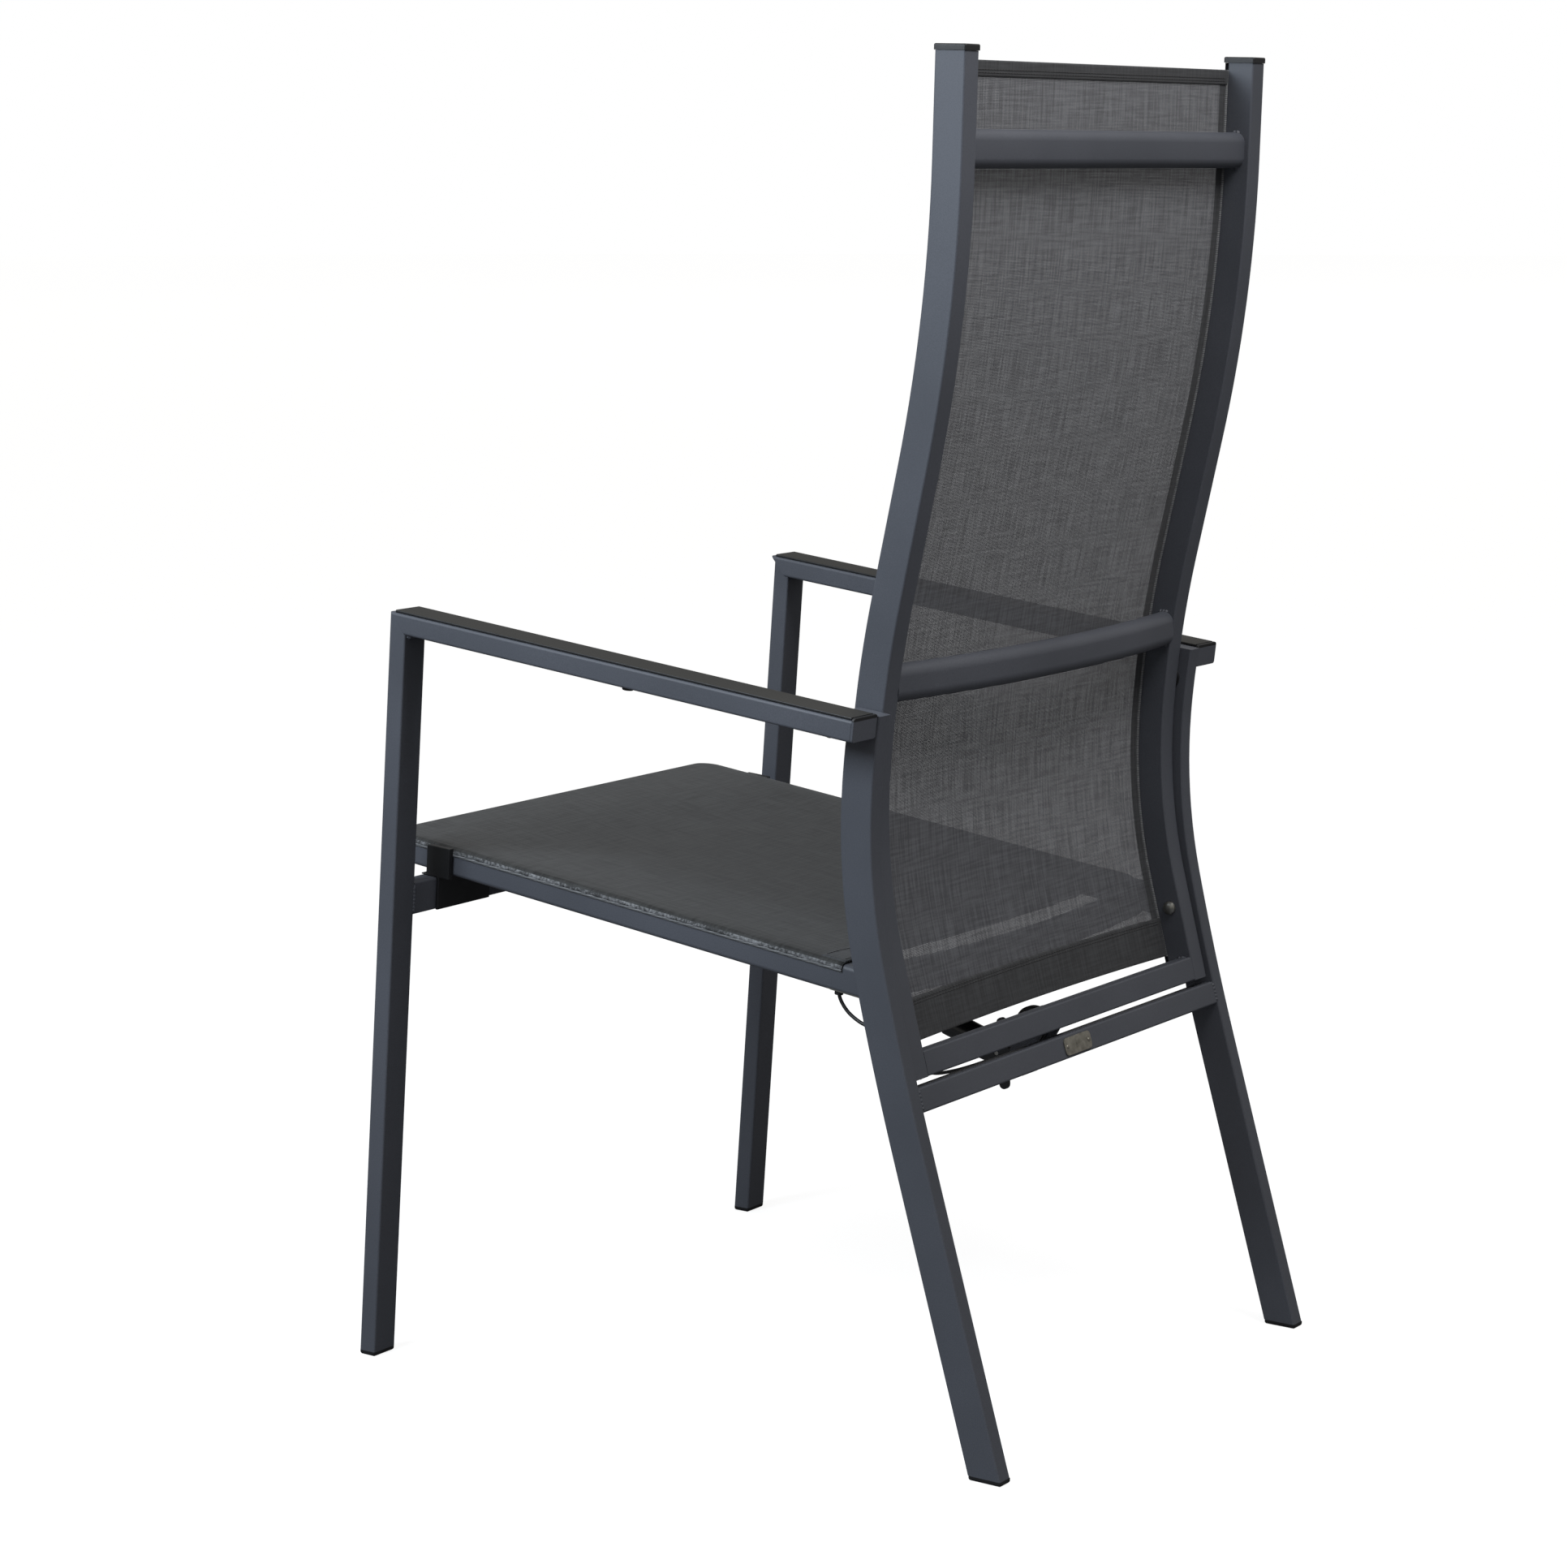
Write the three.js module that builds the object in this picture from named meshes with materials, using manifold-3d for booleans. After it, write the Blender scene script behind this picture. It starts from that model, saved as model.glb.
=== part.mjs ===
// Reclining sling patio chair. A welded base of flat aluminium tube carries a back frame on two pivot
// bolts at the arms. The seat frame is bolted to the foot of the back posts and slides forward on two
// glides as the back leans, and a lockable gas spring under the seat holds the pose until the push
// button under the left arm releases it through a cable. Millimetres, +Z up. The chair faces -Y, and +X
// is the sitter's left. Until the last lines, Y counts rearward from the front feet and Z from the floor.
import * as THREE from "three";
import * as BufferGeometryUtils from "three/addons/utils/BufferGeometryUtils.js";
import Module from "manifold-3d";

const wasm = await Module();
wasm.setup();

const degrees = THREE.MathUtils.degToRad;

// Clearances shared by all pieces
const seatGap = 0.3;
const swingGap = 0.8;
const overrun = 5;
const farCut = 1500;

// Front legs
const frameWidth = 583;
const frontLegWidth = 27;
const frontLegDepth = 17;
const frontLegLean = degrees(4.39);
const tubeCorner = 3;
const footCapHeight = 4;
const footCapBevel = 1.2;

// Armrests, with their inlays
const armWidth = 33;
const armHeight = 17.55;
const armUndersideAtFeet = 642.8;
const armFall = degrees(6.56);
const armRearEnd = 515.6;
const armRunIn = 3.4;
const armCorner = 2.5;
const armEndCapThickness = 2.6;
const inlayThickness = 2.2;
const inlayInset = 1.2;
const inlayCorner = 0.8;
const inlayFrontInset = 5;

// Rear legs: a straight run from the floor, then three bends that carry them up beside the posts
const rearLegWidth = 15.5;
const rearLegDepth = 28.1;
const rearFootY = 620.1;
const rearLegLean = degrees(-16.3);
const rearLegStraightLength = 266.3;
const rearLegEaseLength = 148.3;
const rearLegEaseTurn = degrees(3.46);
const rearLegKneeLength = 146.3;
const rearLegKneeTurn = degrees(16.8);
const rearLegTopLength = 70;
const rearLegTopTurn = degrees(6.56);

// Cross rails of the base
const frontRailHeight = 28.1;
const rearRailSize = 20;
const rearRailTop = 302.5;
const labelWidth = 46.6;
const labelHeight = 18;
const labelThickness = 0.8;

// Back posts: a straight foot, two bends rearward, a straight run and one bend upright again
const postWidth = 19.8;
const postDepth = 26.65;
const postFootY = 527.8;
const postFootZ = 307;
const postLean = degrees(-14.44);
const postFootLength = 94.7;
const postLumbarLength = 156.8;
const postLumbarTurn = degrees(18.74);
const postWaistLength = 135.6;
const postWaistTurn = degrees(8.52);
const postBackLength = 105.8;
const postShoulderLength = 239.1;
const postShoulderTurn = degrees(-11.17);
const postTop = 1106;
const postCapThickness = 3.7;

// Bars between the posts
const headBarHeight = 30;
const headBarDepth = 17;
const headBarCentre = 1035;
const headBarInset = 4.6;
const lumbarBarHeight = 30;
const lumbarBarDepth = 19;
const lumbarBarCentre = 622;
const lumbarBow = 19;
const lowerRailHeight = 21;
const lowerRailDepth = 18;

// What stands beside what across the chair, from the outside in
const armRearOuter = frameWidth / 2 - armRunIn;
const rearLegOuter = armRearOuter - armWidth - seatGap;

// Slings, their edge beads and the grooves that hold the beads
const slingThickness = 1.6;
const slingHemThickness = 3.2;
const slingSetIn = 11;
const backSlingTop = 1102;
const backSlingTopHem = 15;
const backSlingBottom = 331;
const backSlingBottomHem = 35;
const beadWidth = 3.4;
const beadDepth = 4.6;
const beadProud = 0.7;

// Recline pivots at the arms, and the seat's hinge at the foot of the posts
const pivotY = 497;
const pivotZ = 575;
const pivotBoltRadius = 5;
const pivotBore = 16;
const washerRadius = 10;
const washerThickness = 2.2;
const hingeY = 513.3;
const hingeZ = 372.3;
const hingeBoltRadius = 4;
const hingeHeadRadius = 6.2;
const hingeHeadHeight = 3.6;
const tongueThickness = 6;
const tongueRadius = 7.6;
const tongueLength = 58;

// Seat frame, set in from the posts' outer faces
const seatSetIn = 6.1;
const railWidth = 20;
const railHeight = 23.8;
const railCorner = 4;
const seatFrontY = -8.8;
const seatFrontZ = 453.8;
const seatSlope = degrees(7.18);
const seatBendRadius = 30;
const railToPost = 3.6;
const seatRearBarHeight = 29;
const seatRearBarDepth = 15;
const seatRearBarFromHinge = 31;
const seatRearBarDip = 9;
const seatRearBarDrop = 2;
const seatSlingToBar = 10;
const seatSlingSag = 5;
const sagRun = 150;

// The widths that follow from those of the arms and the rear legs
const postOuter = rearLegOuter - rearLegWidth - washerThickness - 2 * seatGap;
const seatHalfWidth = postOuter - seatSetIn;

// Glides on the front cross rail
const glidePad = 1.2;
const glideRest = 2;
const glideCheekWidth = 5.6;
const glideCheekGap = 0.6;
const glideCheekHeight = 27;
const glideCheekLength = 25;
const glideCheekOverhang = 13;
const glideFlapWidth = 70;
const glideFlapThickness = 2.4;

// Gas spring: the rear pivot on the back, the front pivot on the base, and the pieces between them
const springRearY = 497;
const springRearZ = 273.3;
const springFrontY = 69;
const springFrontZ = 406.4;
const springPinRadius = 4;
const springPinHead = 2.4;
const springPinHeadRadius = 5.8;
const headWidth = 24;
const headHeight = 26;
const headFront = 42;
const collarRadius = 11;
const collarLength = 38;
const rodRadius = 5;
const rodVisible = 118;
const rodInside = 32;
const rodTravel = 118;
const cylinderRadius = 11;
const cylinderFrontGap = 26;
const cylinderNeckRadius = 6;
const eyeRadius = 13;
const eyeBore = 7.8;
const eyeThickness = 12;
const earThickness = 4;
const earRadius = 13.5;
const earEyeRadius = 10;
const earAhead = 12;
const earDrop = 5.2;
const bracketEarRadius = 9;
const bracketPlateThickness = 3;

// Release lever in the head, and the button under the left arm
const leverThickness = 4;
const leverRadius = 4.5;
const leverTopBack = 31;
const leverTopRise = 27;
const leverFootBack = 12;
const leverFootDrop = 27;
const leverPinRadius = 2;
const leverPinBack = 22;
const buttonY = 286.7;
const buttonRadius = 4.8;
const buttonProud = 4.5;
const buttonInside = 7;
const buttonStroke = 3;
const bushRadius = 7.4;
const bushFlange = 1;

// Release cable: a loop from the seat rail's underside to the left post's front, and a run from the post's
// inner face to the spring's left ear. The loop's places are (Y, Z). The run's have a share of the way across
// first, from the ear to the post.
const cableRadius = 1.5;
const grommetRadius = 3.6;
const grommetHeight = 2.4;
const cableLoopIn = 11.5;
const cableLoop = [
  [460.2, 370.4], [460.6, 366.6], [463, 361.6], [468, 355.6],
  [475, 350.6], [484, 346.6], [494, 344.9], [503.2, 346]];
const cableRun = [
  [1, 514.9, 321.2], [0.97, 514.3, 320], [0.895, 511, 313.5], [0.768, 504.5, 301], [0.618, 498, 291.4],
  [0.467, 495, 286.8], [0.317, 493, 284.4], [0.167, 491.4, 283.2], [0.056, 490.4, 282.6], [0, 490, 282.4]];

// Fineness of the facets
const postSteps = 26;
const legSteps = 20;
const bowSteps = 16;
const bendSteps = 6;
const slingColumns = 20;
const slingRows = 14;
const slingRowShare = 1.7;
const domeRings = 4;
const cornerSegments = 1;
const ovalSegments = 2;
const cableSegments = 3;
const roundSegments = 20;
const grommetSegments = 12;
const mergeTolerance = 1e-4;

// Colours and finishes
const frameFinish = { color: 0x474b52, roughness: 0.55, metalness: 0.35 };
const slingFinish = { color: 0x3b3c3c, roughness: 0.9, metalness: 0 };
const beadFinish = { color: 0x55585a, roughness: 0.8, metalness: 0 };
const plasticFinish = { color: 0x1b1c1f, roughness: 0.6, metalness: 0 };
const inlayFinish = { color: 0x3a3a36, roughness: 0.7, metalness: 0 };
const steelFinish = { color: 0x96968f, roughness: 0.3, metalness: 0.9 };
const springFinish = { color: 0x141516, roughness: 0.4, metalness: 0.3 };
const labelFinish = { color: 0x6e695c, roughness: 0.4, metalness: 0.7 };

// A tube's centre line in a side plane: runs of even bend, each with a length and a turn in radians.
// The lean is measured from upright, towards the rear.
class BentTube extends THREE.Curve {
  constructor(x, y, z, lean, runs) {
    super();
    Object.assign(this, { x, y, z, lean, runs });
    this.total = runs.reduce((sum, run) => sum + run.length, 0);
  }

  // The place and the lean after a length of tube.
  at(distance) {
    let left = distance;
    let { y, z, lean } = this;
    for (const { length, turn } of this.runs) {
      const step = Math.min(left, length);
      const bend = (turn * step) / length;
      const chord = bend === 0 ? step : (step * Math.sin(bend / 2)) / (bend / 2);
      y += chord * Math.sin(lean + bend / 2);
      z += chord * Math.cos(lean + bend / 2);
      lean += bend;
      left -= step;
    }
    return { y, z, lean };
  }

  getPoint(t, target = new THREE.Vector3()) {
    const { y, z } = this.at(t * this.total);
    return target.set(this.x, y, z);
  }

  // The length of tube at which the centre line reaches a height.
  reach(height) {
    let low = 0;
    let high = this.total;
    while (high - low > mergeTolerance) {
      const middle = (low + high) / 2;
      if (this.at(middle).z < height) low = middle;
      else high = middle;
    }
    return low;
  }
}

// A level arc in plan, between two angles from +X.
class LevelArc extends THREE.Curve {
  constructor(centre, radius, from, to) {
    super();
    Object.assign(this, { centre, radius, from, to });
  }

  getPoint(t, target = new THREE.Vector3()) {
    const angle = this.from + (this.to - this.from) * t;
    const { x, y, z } = this.centre;
    return target.set(x + this.radius * Math.cos(angle), y + this.radius * Math.sin(angle), z);
  }
}

// Points and lines of the side view, as (Y, Z)
const side = (y, z) => new THREE.Vector2(y, z);
const upward = (lean) => side(Math.sin(lean), Math.cos(lean));
const rearward = (lean) => side(Math.cos(lean), -Math.sin(lean));

function meeting(pointA, alongA, pointB, alongB) {
  const between = pointB.clone().sub(pointA);
  const share = between.cross(alongB) / alongA.cross(alongB);
  return pointA.clone().addScaledVector(alongA, share);
}

// Outlines
function roundedRectangle(width, height, radius, x = 0, y = 0) {
  const shape = new THREE.Shape();
  const [right, top] = [width / 2 - radius, height / 2 - radius];
  const quarter = Math.PI / 2;
  shape.absarc(x + right, y + top, radius, 0, quarter);
  shape.absarc(x - right, y + top, radius, quarter, 2 * quarter);
  shape.absarc(x - right, y - top, radius, 2 * quarter, 3 * quarter);
  shape.absarc(x + right, y - top, radius, 3 * quarter, 4 * quarter);
  shape.closePath();
  return shape;
}

function disc(radius) {
  const shape = new THREE.Shape();
  shape.absarc(0, 0, radius, 0, 2 * Math.PI);
  return shape;
}

// The outline round two circles, from one centre to the other, in a plane of (Y, Z).
function strap(from, fromRadius, to, toRadius) {
  const along = to.clone().sub(from);
  const heading = along.angle();
  const spread = Math.acos((fromRadius - toRadius) / along.length());
  const shape = new THREE.Shape();
  shape.absarc(to.x, to.y, toRadius, heading - spread, heading + spread);
  shape.absarc(from.x, from.y, fromRadius, heading + spread, heading - spread + 2 * Math.PI);
  shape.closePath();
  return shape;
}

// Solids
function sweep(shape, curve, steps, curveSegments = cornerSegments) {
  return new THREE.ExtrudeGeometry(shape, { extrudePath: curve, steps, curveSegments });
}

function plate(shape, depth, curveSegments = ovalSegments * 2) {
  const geometry = new THREE.ExtrudeGeometry(shape, { depth, bevelEnabled: false, curveSegments });
  return geometry.translate(0, 0, -depth / 2);
}

// A plate whose outline lies in (Y, Z), centred on x.
function sidePlate(shape, x, thickness) {
  const turned = new THREE.Matrix4().makeBasis(
    new THREE.Vector3(0, 1, 0), new THREE.Vector3(0, 0, 1), new THREE.Vector3(1, 0, 0));
  return plate(shape, thickness).applyMatrix4(turned).translate(x, 0, 0);
}

function box(width, depth, height) {
  return new THREE.BoxGeometry(width, depth, height);
}

// A closed sheet: place gives the under side over u from -1 to 1 and v from 0 to 1, and the top lies above.
function sheet(place, acrossSteps, alongSteps, thickness) {
  const positions = [];
  const index = [];
  const row = acrossSteps + 1;
  const layer = row * (alongSteps + 1);
  for (const lift of [0, thickness]) {
    for (let j = 0; j <= alongSteps; j += 1) {
      for (let i = 0; i <= acrossSteps; i += 1) {
        const { x, y, z } = place((2 * i) / acrossSteps - 1, j / alongSteps);
        positions.push(x, y, z + lift);
      }
    }
  }
  const quad = (a, b, c, d) => index.push(a, b, c, a, c, d);
  for (let j = 0; j < alongSteps; j += 1) {
    for (let i = 0; i < acrossSteps; i += 1) {
      const corner = j * row + i;
      quad(corner, corner + row, corner + row + 1, corner + 1);
      quad(layer + corner, layer + corner + 1, layer + corner + row + 1, layer + corner + row);
    }
    const [left, right] = [j * row, j * row + acrossSteps];
    quad(left, layer + left, layer + left + row, left + row);
    quad(right, right + row, layer + right + row, layer + right);
  }
  for (let i = 0; i < acrossSteps; i += 1) {
    const [front, rear] = [i, alongSteps * row + i];
    quad(front, front + 1, layer + front + 1, layer + front);
    quad(rear, layer + rear, layer + rear + 1, rear + 1);
  }
  const geometry = new THREE.BufferGeometry();
  geometry.setAttribute("position", new THREE.Float32BufferAttribute(positions, 3));
  geometry.setIndex(index);
  return geometry;
}

// A cylinder along X from one face to the other.
function crossPin(radius, fromX, toX, y, z, segments = roundSegments) {
  const length = toX - fromX;
  const pin = new THREE.CylinderGeometry(radius, radius, length, segments).rotateZ(-Math.PI / 2);
  return pin.translate(fromX + length / 2, y, z);
}

// A revolved piece along X: the profile gives (distance along X, radius) and starts and ends on the axis.
function crossTurned(profile, y, z, segments = roundSegments) {
  const points = profile.map(([along, radius]) => new THREE.Vector2(radius, along));
  return new THREE.LatheGeometry(points, segments).rotateZ(-Math.PI / 2).translate(0, y, z);
}

// Everything on one side of a plane, as a block to cut with. The normal points into the block.
function halfSpace(point, normal) {
  const block = box(2 * farCut, 2 * farCut, 2 * farCut).translate(0, 0, farCut);
  const up = new THREE.Vector3(0, 0, 1);
  const turn = new THREE.Quaternion().setFromUnitVectors(up, normal.clone().normalize());
  return block.applyQuaternion(turn).translate(point.x, point.y, point.z);
}

const sidePlane = (point, normal) => halfSpace(
  new THREE.Vector3(0, point.x, point.y), new THREE.Vector3(0, normal.x, normal.y));

// Booleans
function welded(geometry) {
  const bare = geometry.clone();
  bare.deleteAttribute("normal");
  bare.deleteAttribute("uv");
  return BufferGeometryUtils.mergeVertices(bare, mergeTolerance);
}

function toSolid(geometry) {
  const merged = welded(geometry);
  return new wasm.Manifold(new wasm.Mesh({
    numProp: 3,
    vertProperties: new Float32Array(merged.attributes.position.array),
    triVerts: new Uint32Array(merged.index.array),
  }));
}

function toGeometry(body) {
  const mesh = body.getMesh();
  const geometry = new THREE.BufferGeometry();
  geometry.setAttribute("position", new THREE.BufferAttribute(mesh.vertProperties, 3));
  geometry.setIndex(new THREE.BufferAttribute(mesh.triVerts, 1));
  return geometry;
}

function cut(geometry, ...cutters) {
  return toGeometry(cutters.reduce((body, cutter) => body.subtract(toSolid(cutter)), toSolid(geometry)));
}

function join(geometry, ...others) {
  return toGeometry(others.reduce((body, other) => body.add(toSolid(other)), toSolid(geometry)));
}

function mirrored(geometry) {
  const copy = welded(geometry).applyMatrix4(new THREE.Matrix4().makeScale(-1, 1, 1));
  const order = copy.index.array;
  for (let i = 0; i < order.length; i += 3) [order[i], order[i + 1]] = [order[i + 1], order[i]];
  return copy;
}

// Scene graph
const chair = new THREE.Group();
const base = new THREE.Group();
const back = new THREE.Group();
const seat = new THREE.Group();
const spring = new THREE.Group();
chair.add(base, back, seat, spring);
seat.position.set(0, seatFrontY, seatFrontZ);
seat.rotation.x = -seatSlope;

const springRear = side(springRearY, springRearZ);
const springFront = side(springFrontY, springFrontZ);
const springLength = springRear.distanceTo(springFront);
const springRise = Math.atan2(springFrontZ - springRearZ, springRearY - springFrontY);
spring.position.set(0, springRearY, springRearZ);
spring.rotation.x = -springRise;
chair.updateMatrixWorld(true);

function add(group, name, geometry, finish) {
  const faceted = geometry.index ? geometry.toNonIndexed() : geometry.clone();
  faceted.computeVertexNormals();
  const mesh = new THREE.Mesh(faceted, new THREE.MeshStandardMaterial(finish));
  mesh.name = name;
  group.add(mesh);
  return mesh;
}

function addPair(group, name, leftGeometry, finish) {
  add(group, `left_${name}`, leftGeometry, finish);
  add(group, `right_${name}`, mirrored(leftGeometry), finish);
}

// A geometry of the chair's own frame, moved into a turned group's frame.
function into(group, geometry) {
  return geometry.clone().applyMatrix4(group.matrixWorld.clone().invert());
}

// Front legs and armrests, mitred where they meet
const frontFace = side(0, 0);
const frontLegRise = upward(frontLegLean);
const frontLegCentre = frontFace.clone().addScaledVector(rearward(frontLegLean), frontLegDepth / 2);
const armAlong = rearward(armFall);
const armUp = upward(armFall);
const armUnderside = side(0, armUndersideAtFeet);
const armTop = armUnderside.clone().addScaledVector(armUp, armHeight);
const outerCorner = meeting(frontFace, frontLegRise, armTop, armAlong);
const legRearFace = frontFace.clone().addScaledVector(rearward(frontLegLean), frontLegDepth);
const innerCorner = meeting(legRearFace, frontLegRise, armUnderside, armAlong);
const mitre = innerCorner.clone().sub(outerCorner).normalize();
const aboveMitre = side(-mitre.y, mitre.x);
const mitreGap = (sign) => outerCorner.clone().addScaledVector(aboveMitre, (sign * seatGap) / 2);

const frontLegX = frameWidth / 2 - frontLegWidth / 2;
const legFloorCentre = meeting(frontLegCentre, frontLegRise, side(0, 0), side(1, 0));
const floorCut = (height) => sidePlane(side(0, height), side(0, -1));
{
  const length = outerCorner.length() + frontLegDepth;
  const line = new BentTube(frontLegX, legFloorCentre.x, 0, frontLegLean, [{ length, turn: 0 }]);
  const tube = sweep(roundedRectangle(frontLegWidth, frontLegDepth, tubeCorner), line, 1);
  const mitred = sidePlane(mitreGap(-1), aboveMitre);
  addPair(base, "front_leg", cut(tube, floorCut(footCapHeight + seatGap), mitred), frameFinish);
}

// Armrests run in a little towards the rear, and lie against the rear legs.
const armToeIn = armRunIn / (armRearEnd - outerCorner.x);
const armOuterAt = (y) => frameWidth / 2 - armToeIn * (y - outerCorner.x);
const armCentreLine = armUnderside.clone().addScaledVector(armUp, armHeight / 2);
function armPoint(y, lift) {
  const level = meeting(armUnderside.clone().addScaledVector(armUp, lift), armAlong, side(y, 0), side(0, 1));
  return new THREE.Vector3(armOuterAt(y) - armWidth / 2, y, level.y);
}
const armFrontRun = outerCorner.x - frontLegDepth;
const armTubeEnd = armRearEnd - armEndCapThickness - seatGap;
{
  const line = new THREE.LineCurve3(armPoint(armFrontRun, armHeight / 2), armPoint(armTubeEnd, armHeight / 2));
  const tube = sweep(roundedRectangle(armWidth, armHeight, armCorner), line, 1);
  const mitred = sidePlane(mitreGap(1), aboveMitre.clone().negate());
  const right = mirrored(cut(tube, mitred));
  const button = armPoint(buttonY, 0);
  const boreDepth = buttonInside + buttonStroke + swingGap;
  const bore = new THREE.CylinderGeometry(
    buttonRadius + seatGap, buttonRadius + seatGap, boreDepth + overrun, roundSegments);
  bore.rotateX(Math.PI / 2 - armFall);
  const boreMiddle = side(button.y, button.z).addScaledVector(armUp, (boreDepth - overrun) / 2);
  bore.translate(button.x, boreMiddle.x, boreMiddle.y);
  add(base, "left_armrest", cut(tube, mitred, bore), frameFinish);
  add(base, "right_armrest", right, frameFinish);
}
{
  const from = outerCorner.x + inlayFrontInset;
  const lift = armHeight + seatGap + inlayThickness / 2;
  const line = new THREE.LineCurve3(armPoint(from, lift), armPoint(armTubeEnd, lift));
  const strip = sweep(roundedRectangle(armWidth - 2 * inlayInset, inlayThickness, inlayCorner), line, 1);
  addPair(base, "arm_inlay", strip, inlayFinish);
}
{
  const height = armHeight + inlayThickness;
  const lift = height / 2;
  const line = new THREE.LineCurve3(armPoint(armTubeEnd + seatGap, lift), armPoint(armRearEnd, lift));
  const cap = sweep(roundedRectangle(armWidth, height, armCorner), line, 1);
  addPair(base, "arm_end_cap", cap, plasticFinish);
}

// Rear legs stand between the armrests and the back posts.
const rearLegX = rearLegOuter - rearLegWidth / 2;
const rearLegLine = new BentTube(rearLegX, rearFootY, 0, rearLegLean, [
  { length: rearLegStraightLength, turn: 0 },
  { length: rearLegEaseLength, turn: rearLegEaseTurn },
  { length: rearLegKneeLength, turn: rearLegKneeTurn },
  { length: rearLegTopLength, turn: rearLegTopTurn },
]);
{
  const tube = sweep(roundedRectangle(rearLegWidth, rearLegDepth, tubeCorner), rearLegLine, legSteps);
  const topCut = sidePlane(armTop, armUp);
  const boreEnd = rearLegX + rearLegWidth / 2 - 2 * seatGap;
  const bore = crossPin(pivotBoltRadius + seatGap, rearLegX - rearLegWidth, boreEnd, pivotY, pivotZ);
  addPair(base, "rear_leg", cut(tube, floorCut(footCapHeight + seatGap), topCut, bore), frameFinish);
}

// Foot caps follow the level cut through each leg.
function footCap(x, y, width, depth, lean) {
  const length = depth / Math.cos(lean);
  const outline = roundedRectangle(
    width - 2 * footCapBevel, length - 2 * footCapBevel, tubeCorner - footCapBevel);
  const cap = new THREE.ExtrudeGeometry(outline, {
    depth: footCapHeight - 2 * footCapBevel,
    bevelThickness: footCapBevel,
    bevelSize: footCapBevel,
    bevelSegments: 1,
    curveSegments: cornerSegments,
  });
  return cap.translate(x, y - (footCapHeight / 2) * Math.tan(-lean), footCapBevel);
}
addPair(base, "front_foot_cap",
  footCap(frontLegX, legFloorCentre.x, frontLegWidth, frontLegDepth, frontLegLean), plasticFinish);
addPair(base, "rear_foot_cap",
  footCap(rearLegX, rearFootY, rearLegWidth, rearLegDepth, rearLegLean), plasticFinish);

// Cross rails of the base, turned to lie along the legs
const seatUnderside = new THREE.Vector3(0, 0, -railHeight).applyMatrix4(seat.matrixWorld);
const underRailAt = meeting(
  side(seatUnderside.y, seatUnderside.z), rearward(seatSlope), frontLegCentre, frontLegRise);
const frontRailTop = underRailAt.clone().addScaledVector(frontLegRise, -(glideRest + glidePad + seatGap));
const frontRailMiddle = frontRailTop.clone().addScaledVector(frontLegRise, -frontRailHeight / 2);
const frontRailRear = frontRailMiddle.clone().addScaledVector(rearward(frontLegLean), frontLegDepth / 2);
const frontRail = new THREE.Group();
base.add(frontRail);
frontRail.position.set(0, frontRailMiddle.x, frontRailMiddle.y);
frontRail.rotation.x = -frontLegLean;
{
  const length = frameWidth - 2 * frontLegWidth - 2 * seatGap;
  const section = roundedRectangle(frontLegDepth, frontRailHeight, tubeCorner);
  add(frontRail, "front_cross_rail", sidePlate(section, 0, length), frameFinish);
}
// Glides: a pad under each seat rail, a cheek outside it and a flap down the rear of the cross rail
{
  const flapFace = frontLegDepth / 2 + seatGap;
  const outer = seatHalfWidth + glideCheekGap + glideCheekWidth;
  const padFoot = frontRailHeight / 2 + seatGap;
  const padLength = frontLegDepth / 2 + flapFace + glideFlapThickness;
  const pad = box(railWidth + glideCheekWidth, padLength, glidePad)
    .translate(outer - (railWidth + glideCheekWidth) / 2, flapFace + glideFlapThickness - padLength / 2,
      padFoot + glidePad / 2);
  const cheek = box(glideCheekWidth, glideCheekLength, glideCheekHeight)
    .translate(outer - glideCheekWidth / 2, flapFace + glideCheekOverhang - glideCheekLength / 2,
      padFoot + glideCheekHeight / 2);
  const flap = box(glideFlapWidth, glideFlapThickness, frontRailHeight + seatGap + glidePad)
    .translate(outer - glideFlapWidth / 2, flapFace + glideFlapThickness / 2, (seatGap + glidePad) / 2);
  addPair(frontRail, "seat_glide", join(pad, cheek, flap), plasticFinish);
}
const rearRailAt = rearLegLine.at(rearLegLine.reach(rearRailTop - rearRailSize / 2));
const rearRailMiddle = side(rearRailAt.y, rearRailAt.z)
  .addScaledVector(rearward(rearRailAt.lean), (rearLegDepth - rearRailSize) / 2);
const rearRailHalf = rearLegOuter - rearLegWidth - seatGap;
{
  const section = roundedRectangle(rearRailSize, rearRailSize, tubeCorner);
  const rail = add(base, "rear_cross_rail", sidePlate(section, 0, 2 * rearRailHalf), frameFinish);
  rail.position.set(0, rearRailMiddle.x, rearRailMiddle.y);
  rail.rotation.x = -rearRailAt.lean;
  const label = add(base, "label_plate", box(labelWidth, labelThickness, labelHeight), labelFinish);
  const labelAt = rearRailMiddle.clone()
    .addScaledVector(rearward(rearRailAt.lean), rearRailSize / 2 + seatGap + labelThickness / 2);
  label.position.set(0, labelAt.x, labelAt.y);
  label.rotation.x = -rearRailAt.lean;
}

// Back posts, with the bead's groove, the pivot's bore and the slot for the seat's tongue
const postX = postOuter - postWidth / 2;
const postInner = postOuter - postWidth;
const postRuns = [
  { length: postFootLength, turn: 0 },
  { length: postLumbarLength, turn: postLumbarTurn },
  { length: postWaistLength, turn: postWaistTurn },
  { length: postBackLength, turn: 0 },
  { length: postShoulderLength, turn: postShoulderTurn },
];
const bentPost = new BentTube(postX, postFootY, postFootZ, postLean, postRuns);
const postEnd = bentPost.at(bentPost.total);
const postLine = new BentTube(postX, postFootY, postFootZ, postLean, [
  ...postRuns, { length: (postTop - postEnd.z) / Math.cos(postEnd.lean), turn: 0 }]);
const hinge = side(hingeY, hingeZ);
const postAtHinge = postLine.at(postLine.reach(hingeZ));
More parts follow.
